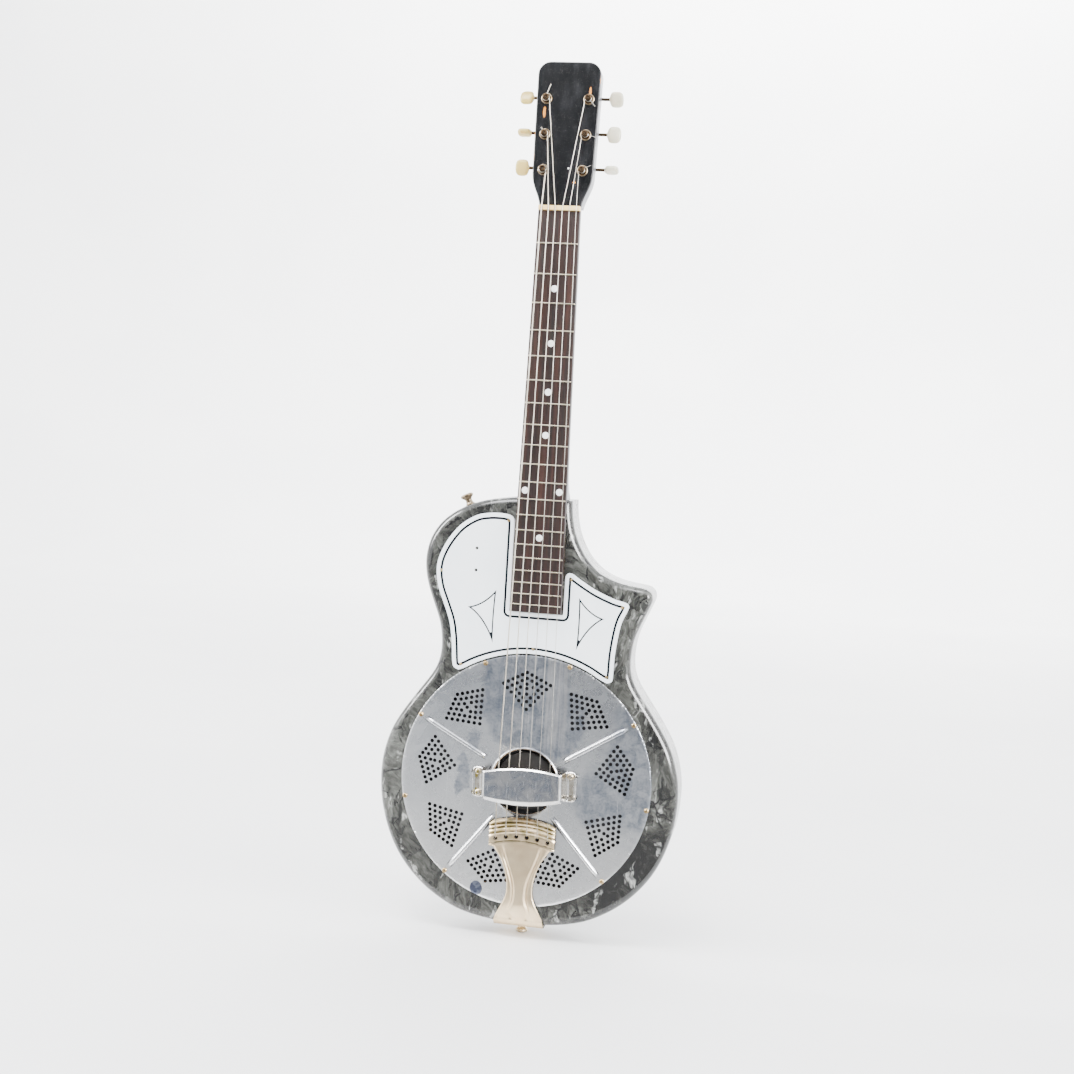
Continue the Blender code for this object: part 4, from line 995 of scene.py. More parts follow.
def build_body(outline, screw_holes):
    front_layers = rounded_plate(outline, FRONT_EDGE, 0.0, FRONT_EDGE_DEPTH, FRONT_THICKNESS)
    front = make("front_plate", stack(front_layers), pearl)
    well = rod((COVER_X, -1, COVER_Z), (COVER_X, FRONT_THICKNESS + 1, COVER_Z), WELL_RADIUS, 160)
    pocket = block((-POCKET_HALF_WIDTH, -1.0, POCKET_LOW), (POCKET_HALF_WIDTH, POCKET_DEPTH, POCKET_HIGH))
    combine(front, [well])
    combine(front, [pocket])
    combine(front, screw_holes)
    fit(front, replaces=["front_cover"])
    back_layers = rounded_plate(outline, BACK_EDGE, BODY_DEPTH, BODY_DEPTH - BACK_EDGE,
                                BODY_DEPTH - BACK_THICKNESS, 6)
    back = make("back_plate", stack(back_layers), pearl)
    combine(back, [rod((0, 30, BOLT_Z), (0, 60, BOLT_Z), BOLT_HOLE)])
    fit(back, replaces=["back_cover"])
    inner = inset(outline, BAND_THICKNESS)
    soft = inset(outline, 0.25)
    near, far = FRONT_THICKNESS + GAP, BODY_DEPTH - BACK_THICKNESS - GAP
    sections = []
    for (xo, zo), (xs, zs), (xi, zi) in zip(outline, soft, inner):
        sections.append([(xi, near, zi), (xs, near, zs), (xo, near + 0.25, zo), (xo, far - 0.25, zo),
                         (xs, far, zs), (xi, far, zi)])
    band = make("side_strip", loft(sections, closed=True), band_grey)
    combine(band, [pocket])
    combine(band, [rod((0, BUTTON_Y, -155), (0, BUTTON_Y, -128), BUTTON_HOLE)])
    fit(band, replaces=["side_band"])


def neck_section(z, depth, squareness, corners=33):
    half = board_half_width(z)
    section = [(half - 0.3, NECK_TOP, z), (half, NECK_TOP + 0.4, z)]
    for corner in range(corners):
        angle = math.pi * corner / (corners - 1)
        across = math.copysign(abs(math.cos(angle)) ** (2 / squareness), math.cos(angle))
        back = NECK_TOP + 2.0 + (depth - 2.0) * math.sin(angle) ** (2 / squareness)
        section.append((half * across, back, z))
    return section + [(-half, NECK_TOP + 0.4, z), (0.3 - half, NECK_TOP, z)]


def head_outline():
    edge = smooth_run(HEAD_SIDE, 4)
    for degrees in range(0, 91, 6):
        bend = math.radians(degrees)
        edge.append((HEAD_TOP_HALF_WIDTH - HEAD_CORNER * (1 - math.cos(bend)),
                     HEAD_LENGTH - HEAD_CORNER * (1 - math.sin(bend))))
    return [(-x, z) for x, z in edge] + edge[::-1]


def build_neck():
    sections = [neck_section(*station) for station in smooth_run(NECK_SECTIONS, 5)]
    neck = make("neck_and_head", loft(sections), [neck_grey, black_paint, body_wood])
    outline = head_outline()
    layers = []
    for degrees in range(0, 91, 18):
        bend = math.radians(degrees)
        layers.append((inset(outline, 1.4 * (1 - math.sin(bend))), 1.4 * (1 - math.cos(bend))))
    layers += [(edge, HEAD_THICKNESS - depth) for edge, depth in reversed(layers)]
    combine(neck, [stack(layers)], HEAD, "UNION")
    tongue = [(board_half_width(z) - 0.6, z) for z in (BOARD_LOW.z + 0.6, NECK_JOINT + 1.0)]
    tongue = [(-x, z) for x, z in tongue] + tongue[::-1]
    combine(neck, [stack([(tongue, NECK_TOP), (tongue, -GAP)])], operation="UNION", finish_index=2)
    combine(neck, [block((-TENON_HALF_WIDTH, -1.0, TENON_LOW), (TENON_HALF_WIDTH, TENON_DEPTH, TENON_HIGH))],
            operation="UNION", finish_index=2)
    combine(neck, [rod((0, 30, BOLT_Z), (0, 60, BOLT_Z), BOLT_HOLE)], finish_index=2)
    holes = []
    for number in range(1, 7):
        x, up = post_place(number)
        holes.append(rod((x, -3, up), (x, HEAD_THICKNESS + 3, up), POST_HOLE))
    combine(neck, holes, HEAD, finish_index=2)
    to_head = HEAD.inverted()
    for face in neck.data.polygons:
        centre = to_head @ face.center
        if face.material_index == 0 and centre.y < 0.9 and centre.z > NUT_THICKNESS:
            face.material_index = 1
    fit(neck, replaces=["neck"])


def build_board():
    """The board on its own, then the fret wires and the position dots."""
    under = BOARD_THICKNESS - BOARD_TOP
    low = BOARD_LOW.z
    outline = [(board_half_width(z), z) for z in (low, SCALE_LENGTH)]
    outline = [(-x, z) for x, z in outline] + outline[::-1]
    layers = [(inset(outline, 0.7), -BOARD_TOP), (inset(outline, 0.25), -BOARD_TOP + 0.2),
              (outline, -BOARD_TOP + 0.7), (outline, under)]
    board = make("board", stack(layers), rosewood)
    places = [SCALE_LENGTH / 2 ** (fret / 12) for fret in range(FRET_COUNT + 1)]
    dots = []
    for fret in DOT_FRETS:
        z = (places[fret - 1] + places[fret]) / 2
        for x in (-17.0, 17.0) if fret == 12 else (0.0,):
            dots.append((x, z))
    seats = [rod((x, -BOARD_TOP - 1, z), (x, -BOARD_TOP + 1.0, z), DOT_RADIUS + 0.02, 32) for x, z in dots]
    combine(board, seats)
    fit(board, replaces=["fingerboard"])
    discs = []
    for x, z in dots:
        profile = [(0, BOARD_TOP + 0.03), (DOT_RADIUS - 0.15, BOARD_TOP + 0.03),
                   (DOT_RADIUS, BOARD_TOP - 0.05),
                   (DOT_RADIUS, BOARD_TOP - 0.95), (0, BOARD_TOP - 0.95)]
        discs.append(moved(turned(profile, 32), (x, 0, z)))
    fit(make("position_dots", joined(discs), dot_pearl))
    wires = []
    for z in places[1:]:
        half = board_half_width(z) - 0.5
        sections = []
        for x, size in ((-half, 0.35), (-half + 0.35, 0.85), (-half + 0.9, 1.0), (half - 0.9, 1.0),
                        (half - 0.35, 0.85), (half, 0.35)):
            section = []
            for step in range(9):
                angle = math.pi * step / 8
                y = -BOARD_TOP - FRET_HEIGHT * size * math.sin(angle)
                section.append((x, y, z + FRET_HALF_WIDTH * math.cos(angle)))
            section += [(x, -BOARD_TOP + 0.05, z - FRET_HALF_WIDTH),
                        (x, -BOARD_TOP + 0.05, z + FRET_HALF_WIDTH)]
            sections.append(section)
        wires.append(loft(sections))
    fit(make("fret_wires", joined(wires), fret_nickel, sharp=50.0))


def string_rest(name, half_width, base, crest, spacing, notch, low, high, finish, arch=0.0):
    """A block standing across the strings with a rounded crest and a slot under each string."""
    outline = [(-half_width, base), (-half_width, crest + 0.9 + arch), (-half_width + 0.9, crest + arch)]
    for number in range(6, 0, -1):
        radius = STRING_RADII[number]
        x = string_x(number, spacing)
        top = crest + arch * (x / half_width) ** 2
        outline += [(x - radius - 0.75, top), (x - radius - 0.25, notch + radius + 0.1),
                    (x, notch + radius + 0.3), (x + radius + 0.25, notch + radius + 0.1),
                    (x + radius + 0.75, top)]
    outline += [(half_width - 0.9, crest + arch), (half_width, crest + 0.9 + arch), (half_width, base)]
    sections = [[(x, y, z) for x, y in outline] for z in (low, high)]
    return bevel(make(name, loft(sections), finish), 0.35, 3)


def build_rests():
    start = SCALE_LENGTH + GAP
    nut = string_rest("bone_nut", board_half_width(start), BOARD_THICKNESS - BOARD_TOP, -STRING_AT_NUT - 0.3,
                      NUT_SPACING, -STRING_AT_NUT, start, start + NUT_THICKNESS, bone)
    fit(nut, replaces=["nut"])
    saddle = string_rest("maple_saddle", 28.5, 0.7, -STRING_AT_SADDLE - 0.3, BRIDGE_SPACING,
                         -STRING_AT_SADDLE,
                         -1.4, 1.4, maple)
    fit(saddle, replaces=["saddle"])


# Pickguard

def build_pickguard():
    outline = refined(flat_loops("pickguard", -GAP)[0], 3)
    front = -GAP - GUARD_THICKNESS
    layers = [(inset(outline, 0.55), front), (inset(outline, 0.16), front + 0.14), (outline, front + 0.5),
              (outline, -GAP)]
    guard = make("white_guard", stack(layers), [guard_white, line_black, hole_wall_brown], sharp=50.0)
    grooves = [(parallel(outline, GUARD_LINE_NEAR), parallel(outline, GUARD_LINE_FAR))]
    for corners in GUARD_TRIANGLES:
        triangle = concave_triangle(corners)
        grooves.append((triangle, parallel(triangle, GUARD_TRIANGLE_LINE)))
    for outer, inner in grooves:
        combine(guard, [stack([(outer, front - 1), (outer, front + 0.4)])], finish_index=1, sharp=50.0)
        combine(guard, [stack([(inner, front), (inner, front + 0.6)])], operation="UNION", sharp=50.0)
    combine(guard, [rod((x, -5, z), (x, 1, z), 1.5, 20) for x, z in GUARD_HOLES],
            finish_index=2, sharp=50.0)
    fit(guard, replaces=["pickguard"])
    pins = []
    for x, z in GUARD_PINS:
        profile = [(0, 2.75), (0.7, 2.65), (1.2, 2.4), (1.35, 2.12), (0.5, 2.12), (0.5, 0.4), (0, 0.4)]
        pins.append(moved(turned(profile, 16), (x, 0, z)))
    fit(make("guard_pins", joined(pins), screw_brass))


def concave_triangle(corners):
    """A triangle from its tip, top and bottom, whose two sides at the tip curve inwards. Clockwise."""
    tip, top, bottom = (Vector(corner) for corner in corners)
    middle = (tip + top + bottom) / 3
    outline = []
    for start, end, pull in ((top, bottom, 0.03), (bottom, tip, 0.20), (tip, top, 0.20)):
        bow = (start + end) / 2
        bow = bow + (middle - bow).normalized() * (end - start).length * pull
        for step in range(10):
            t = step / 10
            outline.append(tuple(start * (1 - t) ** 2 + bow * 2 * t * (1 - t) + end * t * t))
    return clockwise(outline)


# Cover plate, cone and hand rest

def perforations():
    """Nine kite-shaped fields of holes: three rings of holes round a middle one."""
    holes = []
    for field in FIELD_ANGLES:
        inner, outer = Vector((0.0, 72.4)), Vector((0.0, 109.0))
        side = math.radians(13.6)
        right = Vector((100.0 * math.sin(side), 100.0 * math.cos(side)))
        left = Vector((-right.x, right.y))
        middle = Vector((0.0, 93.1))
        for scale, inner_holes, outer_holes in ((1.0, 7, 6), (0.63, 5, 4), (0.27, 2, 2)):
            corners = [middle + (corner - middle) * scale for corner in (inner, right, outer, left)]
            for index, count in enumerate((inner_holes, outer_holes, outer_holes, inner_holes)):
                start, end = corners[index], corners[(index + 1) % 4]
                steps = count - 1
                for step in range(steps):
                    holes.append((field, start + (end - start) * step / steps))
        holes.append((field, middle))
    places = []
    for field, point in holes:
        places.append(circle_point(field + math.degrees(math.atan2(point.x, point.y)), point.length))
    return places


def beside_rib(angle, x, z):
    """How far a point lies along a rib from the cover's centre, and how far to its side."""
    turn = math.radians(angle - COVER_TURN)
    along = (x - COVER_X) * math.sin(turn) + (z - COVER_Z) * math.cos(turn)
    across = (x - COVER_X) * math.cos(turn) - (z - COVER_Z) * math.sin(turn)
    return along, across


def rib_rise(x, z):
    """Height of the pressed ribs above the dome."""
    rise = 0.0
    for angle in RIB_ANGLES:
        along, across = beside_rib(angle, x, z)
        ends = smoothstep(RIB_START, RIB_START + 7, along) * smoothstep(RIB_END, RIB_END - 9, along)
        half = RIB_HALF_WIDTH * (0.45 + 0.55 * ends)
        if abs(across) < half and RIB_START < along < RIB_END:
            rise = max(rise, RIB_HEIGHT * ends ** 0.7 * math.cos(math.pi / 2 * across / half) ** 0.85)
    return rise


def disc_with_holes(name, holes, finish, height):
    """A thin round plate on the cover's circle: triangles between its rim, holes and a grid of points."""
    points, loops = [], []

    def ring(x, z, radius, count):
        start = len(points)
        for index in range(count):
            angle = 2 * math.pi * index / count
            points.append(Vector((x + radius * math.sin(angle), z + radius * math.cos(angle))))
        loops.append((start, count))

    ring(COVER_X, COVER_Z, COVER_RADIUS, 220)
    ring(COVER_X, COVER_Z, HAND_HOLE, 96)
    for x, z, radius in holes:
        ring(x, z, radius, 16)
    for radius in [COVER_RADIUS - 0.35, COVER_RADIUS - 0.9, COVER_RADIUS - 2.0, HAND_HOLE + 0.4,
                   HAND_HOLE + 0.9,
                   HAND_HOLE + 1.4, HAND_HOLE + 1.9, HAND_HOLE + 2.6]:
        add_free_points(points, holes, radius, 200 if radius > 60 else 96)
    radius = HAND_HOLE + 4.0
    while radius < COVER_RADIUS - 3.5:
        add_free_points(points, holes, radius, int(2 * math.pi * radius / 3.4))
        radius += 3.4
    for angle in RIB_ANGLES:
        for along in range(int(RIB_START) - 2, int(RIB_END) + 3, 1):
            for step in range(-8, 9):
                x, z = circle_point(angle, along)
                turn = math.radians(angle - COVER_TURN)
                shift = step * RIB_HALF_WIDTH * 1.15 / 8
                points.append(Vector((x + shift * math.cos(turn), z - shift * math.sin(turn))))
    edges = [(start + index, start + (index + 1) % count) for start, count in loops for index in range(count)]
    verts, _, faces, sources, _, _ = delaunay_2d_cdt(points, edges, [], 0, 1e-4)
    owner = {}
    for number, (start, count) in enumerate(loops[1:], 1):
        for index in range(count):
            owner[start + index] = number
    tags = []
    for origin in sources:
        tags.append({owner[index] for index in origin if index in owner})
    kept = []
    for face in faces:
        shared = set.intersection(*(tags[corner] for corner in face))
        if not shared:
            kept.append(face)
    shape = ([(vert.x, -height(vert.x, vert.y), vert.y) for vert in verts], kept)
    plate = make(name, shape, finish, sharp=40.0)
    if plate.data.polygons[0].normal.y > 0:
        plate.data.flip_normals()
    return plate


def add_free_points(points, holes, radius, count):
    """Points on a circle round the cover's centre that keep clear of the holes and ribs."""
    for index in range(count):
        angle = 2 * math.pi * (index + 0.5) / count
        x, z = COVER_X + radius * math.sin(angle), COVER_Z + radius * math.cos(angle)
        clear = all((x - hx) ** 2 + (z - hz) ** 2 > (size + 0.5) ** 2 for hx, hz, size in holes)
        if clear and not near_rib(x, z):
            points.append(Vector((x, z)))


def near_rib(x, z):
    for angle in RIB_ANGLES:
        along, across = beside_rib(angle, x, z)
        if abs(across) < RIB_HALF_WIDTH * 1.3 and RIB_START - 3 < along < RIB_END + 3:
            return True
    return False


def cover_surface(x, z):
    radius = math.hypot(x - COVER_X, z - COVER_Z)
    inner_lip = 0.5 * smoothstep(HAND_HOLE + 0.8, HAND_HOLE, radius)
    lip = inner_lip + 0.5 * smoothstep(COVER_RADIUS - 1.0, COVER_RADIUS, radius)
    bead = 0.8 * math.exp(-((radius - HAND_HOLE - 1.3) / 0.9) ** 2)
    return cover_height(radius) + rib_rise(x, z) + bead - lip


def build_resonator(rim_places, rest_places):
    holes = [(x, z, PERFORATION) for x, z in perforations()]
    holes += [(x, z, SCREW_HOLE) for x, z in rim_places + rest_places]
    # Rims and hole walls of the cover take the near-black edge finish: painted shade in the holes and a
    # painted contact line round the rim, partly bare punched metal.
    cover = disc_with_holes("cover", holes, [cover_plate, bare_edge_and_shade], cover_surface)
    thicken(cover, COVER_SHEET, 40.0)
    fit(cover, replaces=["coverplate"])
    centre = BRIDGE @ Matrix.Translation((COVER_X, 0, COVER_Z))
    front = [(118.0, -23.3), (113.0, -22.9), (111.0, -20.5)]
    for step in range(1, 12):
        radius = 111.0 - 7.0 * step
        front.append((radius, -20.5 + (111.0 - radius) * 13.2 / 77.0 + (0.35 if step % 2 else 0.0)))
    front += [(34.0, -7.3), (2.2, -7.3)]
    back = [(radius, height - 0.9) for radius, height in reversed(front)]
    fit(make("spun_cone", turned(front + back, 120), spun_metal, centre, 60.0),
        replaces=["cone"])
    biscuit = [(0, -1.0), (27.6, -1.0), (28.6, -1.25), (29.2, -1.9), (29.4, -2.6), (29.4, -6.6), (29.0, -7.0),
               (1.9, -7.0), (1.9, -3.0), (0, -3.0)]
    fit(make("round_biscuit", turned(biscuit, 96), dark_wood, centre), replaces=["biscuit"])


def rest_bevel(share):
    """How far the hand rest's surface drops towards its tail side and its neck side."""
    tail_side = 3.6 * max(-share - 0.74, 0.0) / 0.26
    neck_side = 1.5 * max(share - 0.91, 0.0) / 0.09
    return tail_side + neck_side


def foot_rim(share):
    """Height of the raised edge along the neck and tail sides of a foot."""
    return 0.8 * math.exp(-((abs(share) - 0.94) / 0.045) ** 2)


def build_hand_rest(rest_places):
    half = smooth_rest_profile()
    stations = [(-x, height, half_length) for x, height, half_length in half]
    stations += list(reversed(half))[1:]
    foot_height = REST_FOOT_HEIGHT
    top_height = REST_STATIONS[-1][1]
    rows = []
    for x, height, half_length in stations:
        raised = smoothstep(0.55, 1.0, (height - foot_height) / (top_height - foot_height))
        row = []
        for share in REST_SHARES:
            px, pz = rest_point(x, REST_MIDDLE_Z + half_length * share)
            flat = smoothstep(41.0, 43.0, abs(x))
            row.append((px, -height + rest_bevel(share) * raised - foot_rim(share) * flat, pz))
        rows.append(row)
    rest = sheet_grid("chrome_rest", rows, REST_SHEET, [chrome_rest, bright_chrome, bare_edge_and_shade], 45.0)
    for face in rest.data.polygons:
        # Sides and underside take the near-black edge finish: a painted contact shadow round the feet, partly
        # bare metal.
        shaded_side_or_underside = abs(face.normal.y) < 0.2 and abs(face.normal.z) > 0.9 or face.normal.y > 0.3
        if shaded_side_or_underside:
            face.material_index = 2
        else:
            face.material_index = 1 if face.normal.y > -0.975 else 0
    combine(rest, [rod((x, -8, z), (x, 3, z), SCREW_HOLE) for x, z in rest_places], sharp=45.0)
    fit(rest, replaces=["hand_rest"])


def smooth_rest_profile():
    """The hand rest from one foot to its middle with rounded folds."""
    points = REST_STATIONS
    result = [points[0]]
    for before, here, after in zip(points, points[1:], points[2:]):
        here, before, after = Vector(here), Vector(before), Vector(after)
        start = here + (before - here) * min(REST_FOLD / (before - here).length, 0.45)
        end = here + (after - here) * min(REST_FOLD / (after - here).length, 0.45)
        for step in range(5):
            t = step / 4
            result.append(tuple(start * (1 - t) ** 2 + here * 2 * t * (1 - t) + end * t * t))
    result.append(points[-1])
    return result


# Tailpiece

def tongue_half_width(z):
    """Half-width of the tailpiece's raised middle."""
    shoulder = 12.5 * smoothstep(-112.0, -62.0, z)
    pad = 3.6 * math.exp(-((z + 131.0) / 7.0) ** 2)
    return 5.2 + shoulder + pad


def tail_press(x, z):
    """Relief pressed into the tailpiece: a raised tongue between two flutes, and a crease at the tail."""
    if z > -60.0 or z < -143.0:
        return 0.0
    ends = smoothstep(-60.0, -70.0, z) * smoothstep(-142.0, -137.5, z)
    beyond = abs(x) - tongue_half_width(z)
    flute = math.exp(-((beyond - 1.7) / 1.15) ** 2)
    raised = smoothstep(1.0, -1.5, beyond)
    crease = 0.5 * math.exp(-((z + 139.5) / 0.9) ** 2)
    return ends * (0.9 * raised - 1.15 * flute) - crease


def build_tailpiece():
    stations = smooth_run(TAIL_SURFACE, 5)
    columns = [column / 24 for column in range(-24, 25)]
    rows = []
    for z, y, half in stations:
        crown = TAIL_CROWN * min(max((z + 80.0) / 18.0, 0.0), 1.0)
        row = []
        for column in columns:
            x = half * column
            rolled = 1.0 * smoothstep(0.93, 1.0, abs(column)) if z > -140 else 0.0
            row.append((x, y - tail_press(x, z) + rolled, z - crown * x * x))
        rows.append(row)
    tail = sheet_grid("tail_plate", rows, TAIL_SHEET, [nickel_tail, bare_edge_and_shade], 40.0)
    # Hole walls and rims take the near-black edge finish: painted shade in the string holes, partly bare
    # metal.
    holes = [rod((x, -14, z), (x, -2, z), 2.1) for x, z in (tail_hole(number) for number in range(1, 7))]
    combine(tail, holes, finish_index=1, sharp=40.0)
    combine(tail, [rod((0, BUTTON_Y, -156), (0, BUTTON_Y, -140), BUTTON_HOLE)], sharp=40.0)
    fit(tail, replaces=["tailpiece"])
    balls = []
    for number in range(1, 7):
        x, z = tail_hole(number)
        depth = -5.8 if abs(x) < 20 else -5.4
        profile = [(STRING_RADII[number] + 0.05, 1.1), (1.5, 1.1), (2.1, 0.5), (2.1, -0.5), (1.5, -1.1),
                   (STRING_RADII[number] + 0.05, -1.1)]
        balls.append(moved(turned(profile, 20), (x, depth, z + 0.5)))
    # Real ball ends, given the near-black edge finish so the holes above them show painted shade.
    fit(make("string_balls", joined(balls), bare_edge_and_shade))


# Screws and buttons

def round_screw(name, place, radius, rise, length, finish, slot_turn, shank=1.25):
    """Slotted screw with a domed head, seen along -y."""
    profile = [(0, rise), (radius * 0.45, rise * 0.94), (radius * 0.78, rise * 0.70),
               (radius * 0.95, rise * 0.36),
               (radius, 0.0), (shank, 0.0), (shank, -length + 1.5), (0, -length)]
    screw = make(name, turned(profile, 28), finish, place, 50.0)
    slot = moved(block((-radius * 1.1, -rise * 2, -0.32), (radius * 1.1, -rise * 0.45, 0.32)),
                 turn=Matrix.Rotation(math.radians(slot_turn), 4, "Y"))
    return combine(screw, [slot], place, sharp=50.0)


def build_screws(rim_places, rest_places):
    for number, (x, z) in enumerate(rim_places, 1):
        place = BRIDGE @ Matrix.Translation((x, -cover_height(RIM_SCREW_CIRCLE) - GAP, z))
        screw = round_screw(f"cover_screw_{number}", place, 2.5, 1.4, 9.5, screw_brass, 37 * number)
        fit(screw, replaces=[f"rim_screw_{number}"])
    for number, (x, z) in enumerate(rest_places[:3], 1):
        place = BRIDGE @ Matrix.Translation((x, -REST_FOOT_HEIGHT - GAP, z))
        screw = round_screw(f"foot_screw_{number}", place, 3.3, 1.9, 6.3, screw_nickel, 63 * number)
        fit(screw, replaces=[f"rest_screw_{number}"])
    place = BRIDGE @ Matrix.Translation((COVER_X, 8.2, COVER_Z)) @ Matrix.Rotation(math.pi, 4, "Z")
    screw = round_screw("cone_screw", place, 3.8, 2.4, 4.5, screw_nickel, 20)
    fit(screw, replaces=["biscuit_screw"])


def build_buttons_and_bolt():
    foot = 149.1
    end = [(0, foot + 10.4), (1.6, foot + 10.4), (1.9, foot + 10.0), (2.2, foot + 10.0), (2.6, foot + 10.4),
           (4.6, foot + 10.3), (5.8, foot + 9.7), (6.4, foot + 8.8), (6.3, foot + 7.9), (5.4, foot + 6.9),
           (4.2, foot + 6.0), (3.4, foot + 4.9), (3.2, foot + 3.6), (3.5, foot + 2.0), (4.3, foot + 0.8),
           (5.2, foot + 0.4), (5.2, foot), (2.0, foot), (2.0, foot - 17.0), (0, foot - 17.0)]
    shape = turned([(radius, -along) for radius, along in end], 48, "up")
    place = BRIDGE @ Matrix.Translation((0, BUTTON_Y, 0))
    button = make("tail_strap_button", shape, screw_nickel, place, 50.0)
    fit(button, replaces=["end_button"])
    strap = [(0, 11.4), (1.2, 11.4), (1.5, 11.0), (2.3, 11.0), (2.6, 11.6), (4.8, 11.5), (6.0, 11.0),
             (6.6, 10.0),
             (6.4, 8.9), (5.4, 7.8), (4.2, 6.9), (3.3, 5.6), (3.2, 4.2), (3.6, 2.2), (4.6, 0.8), (5.4, 0.3),
             (5.4, 0), (0, 0)]
    turn = Matrix.Rotation(math.radians(-26.0), 4, "Y")
    place = BRIDGE @ Matrix.Translation((-77.9, BUTTON_Y, 268.4)) @ turn
    button = make("shoulder_strap_button", turned(strap, 48, "up"), button_brown, place, 50.0)
    fit(button, replaces=["strap_button"])
    bolt = [(0, -52.2), (2.6, -52.2), (3.6, -52.6), (4.4, -52.0), (5.0, -51.5), (7.4, -51.4), (8.0, -51.0),
            (8.0, -50.3), (2.9, -50.3), (2.9, -32.0), (0, -32.0)]
    place = BRIDGE @ Matrix.Translation((0, 0, BOLT_Z))
    made = make("neck_fixing_bolt", turned(bolt, 40), screw_nickel, place, 40.0)
    combine(made, [block((-5, 51.2, -0.6), (5, 54, 0.6))], place, sharp=40.0)
    fit(made, replaces=["neck_bolt"])


# Tuners

def build_tuner(number):
    x, up = post_place(number)
    side = 1 if x > 0 else -1
    post_frame = HEAD @ Matrix.Translation((x, 0, up))
    body = f"post_{number}"
    profile = [(0, -26.0), (2.3, -26.0), (2.8, -25.6), (2.8, 1.5), (2.75, 2.0), (POST_WAIST, 2.5),
               (POST_WAIST, 5.4),
               (3.0, 5.9), (3.3, 6.2), (3.3, 6.9), (3.1, 7.4), (2.5, 7.75), (1.7, 7.8), (1.4, 7.5), (0, 7.4)]
    post = make(f"post_and_gear_{number}", turned(profile, 32), tuner_steel, post_frame, 45.0)
    combine(post, [gear_shape()], post_frame, "UNION", sharp=30.0)
    heading = math.atan2(STUBS[number][1], STUBS[number][0])
    reach = 4 * Vector((math.cos(heading), 0, math.sin(heading)))
    hole = rod(-reach + Vector((0, -STUB_HEIGHT, 0)), reach + Vector((0, -STUB_HEIGHT, 0)), 0.75, 16)
    combine(post, [hole], post_frame, sharp=30.0)
    fit(post, body, [f"string_post_{number}"])
    ferrule = [(5.4, 0.02), (5.4, 0.5), (5.2, 0.95), (4.8, 1.15), (4.4, 1.0), (4.15, 0.6), (3.75, 0.5),
               (3.45, 0.75),
               (3.05, 0.75), (3.05, -3.0), (3.4, -3.0), (3.4, 0.02)]
    bushing = make(f"post_bushing_{number}", turned(ferrule, 40), [ferrule_bright, ferrule_brown],
                   post_frame, 40.0)
    to_post = post_frame.inverted()
    for face in bushing.data.polygons:
        spot = to_post @ face.center
        face.material_index = 1 if math.hypot(spot.x, spot.z) < 4.25 else 0
    fit(bushing)
    shaft_frame = HEAD @ Matrix.Translation((x, GEAR_DEPTH, up + SHAFT_UP))
    button = f"button_{number}"
    shaft = make(f"worm_and_shaft_{number}", worm_shape(x, side), tuner_steel, shaft_frame, 35.0)
    fit(shaft, button, [f"worm_shaft_{number}"])
    knob_frame = (HEAD @ Matrix.Translation((side * KNOB_START, GEAR_DEPTH, up + SHAFT_UP))
                  @ Matrix.Rotation(math.radians(KNOB_TURNS[number]), 4, "X"))
    plastic = knob_cream if side < 0 else knob_white
    knob = make(f"tuner_knob_{number}", knob_shape(side), plastic, knob_frame, 60.0)
    fit(knob, button, [f"tuner_button_{number}"])
    wrap_string(number, post_frame, body)


def gear_shape():
    """The post's gear: slanted teeth that stand in the worm's thread at rest."""
    lead = 2 * math.pi * GEAR_PITCH_RADIUS / GEAR_TEETH
    slope = lead / (2 * math.pi) / 2.4 / GEAR_PITCH_RADIUS
    tooth = ((-0.66, 3.75), (-0.46, 4.3), (-0.26, 5.1), (0.26, 5.1), (0.46, 4.3), (0.66, 3.75))
    sections = []
    for step in range(5):
        back = -1.5 + 3.0 * step / 4
        section = []
        for index in range(GEAR_TEETH):
            for offset, radius in tooth:
                angle = (lead * 0.25 + index * lead + offset) / GEAR_PITCH_RADIUS + slope * back
                section.append((radius * math.sin(angle), GEAR_DEPTH + back, radius * math.cos(angle)))
        sections.append(section)
    return loft(sections)


def worm_shape(x, side):
    """The shaft with its thread, from inside the inner lug out to the knob."""
    lead = 2 * math.pi * GEAR_PITCH_RADIUS / GEAR_TEETH
    worm_half = 3.8
    around = 24
    steps = 64
    stations = [(-7.6, 0), (-7.4, 1), (-worm_half - 0.3, 1)]
    stations += [(-worm_half + 2 * worm_half * step / steps, 2) for step in range(steps + 1)]
    stations += [(worm_half + 0.3, 1), (KNOB_START - GAP - abs(x), 1)]
    sections = []
    for along, kind in stations:
        section = []
        for corner in range(around):
            angle = 2 * math.pi * corner / around
            phase = (along * side / lead - angle / (2 * math.pi)) % 1.0
            crest = min(phase, 1.0 - phase)
            thread = 1.55 + 1.4 * min(max((0.2 - crest) / 0.1, 0.0), 1.0)
            radius = (SHAFT_RADIUS - 0.3, SHAFT_RADIUS, thread)[kind]
            section.append((along * side, radius * math.cos(angle), radius * math.sin(angle)))
        sections.append(section)
    return loft(sections)


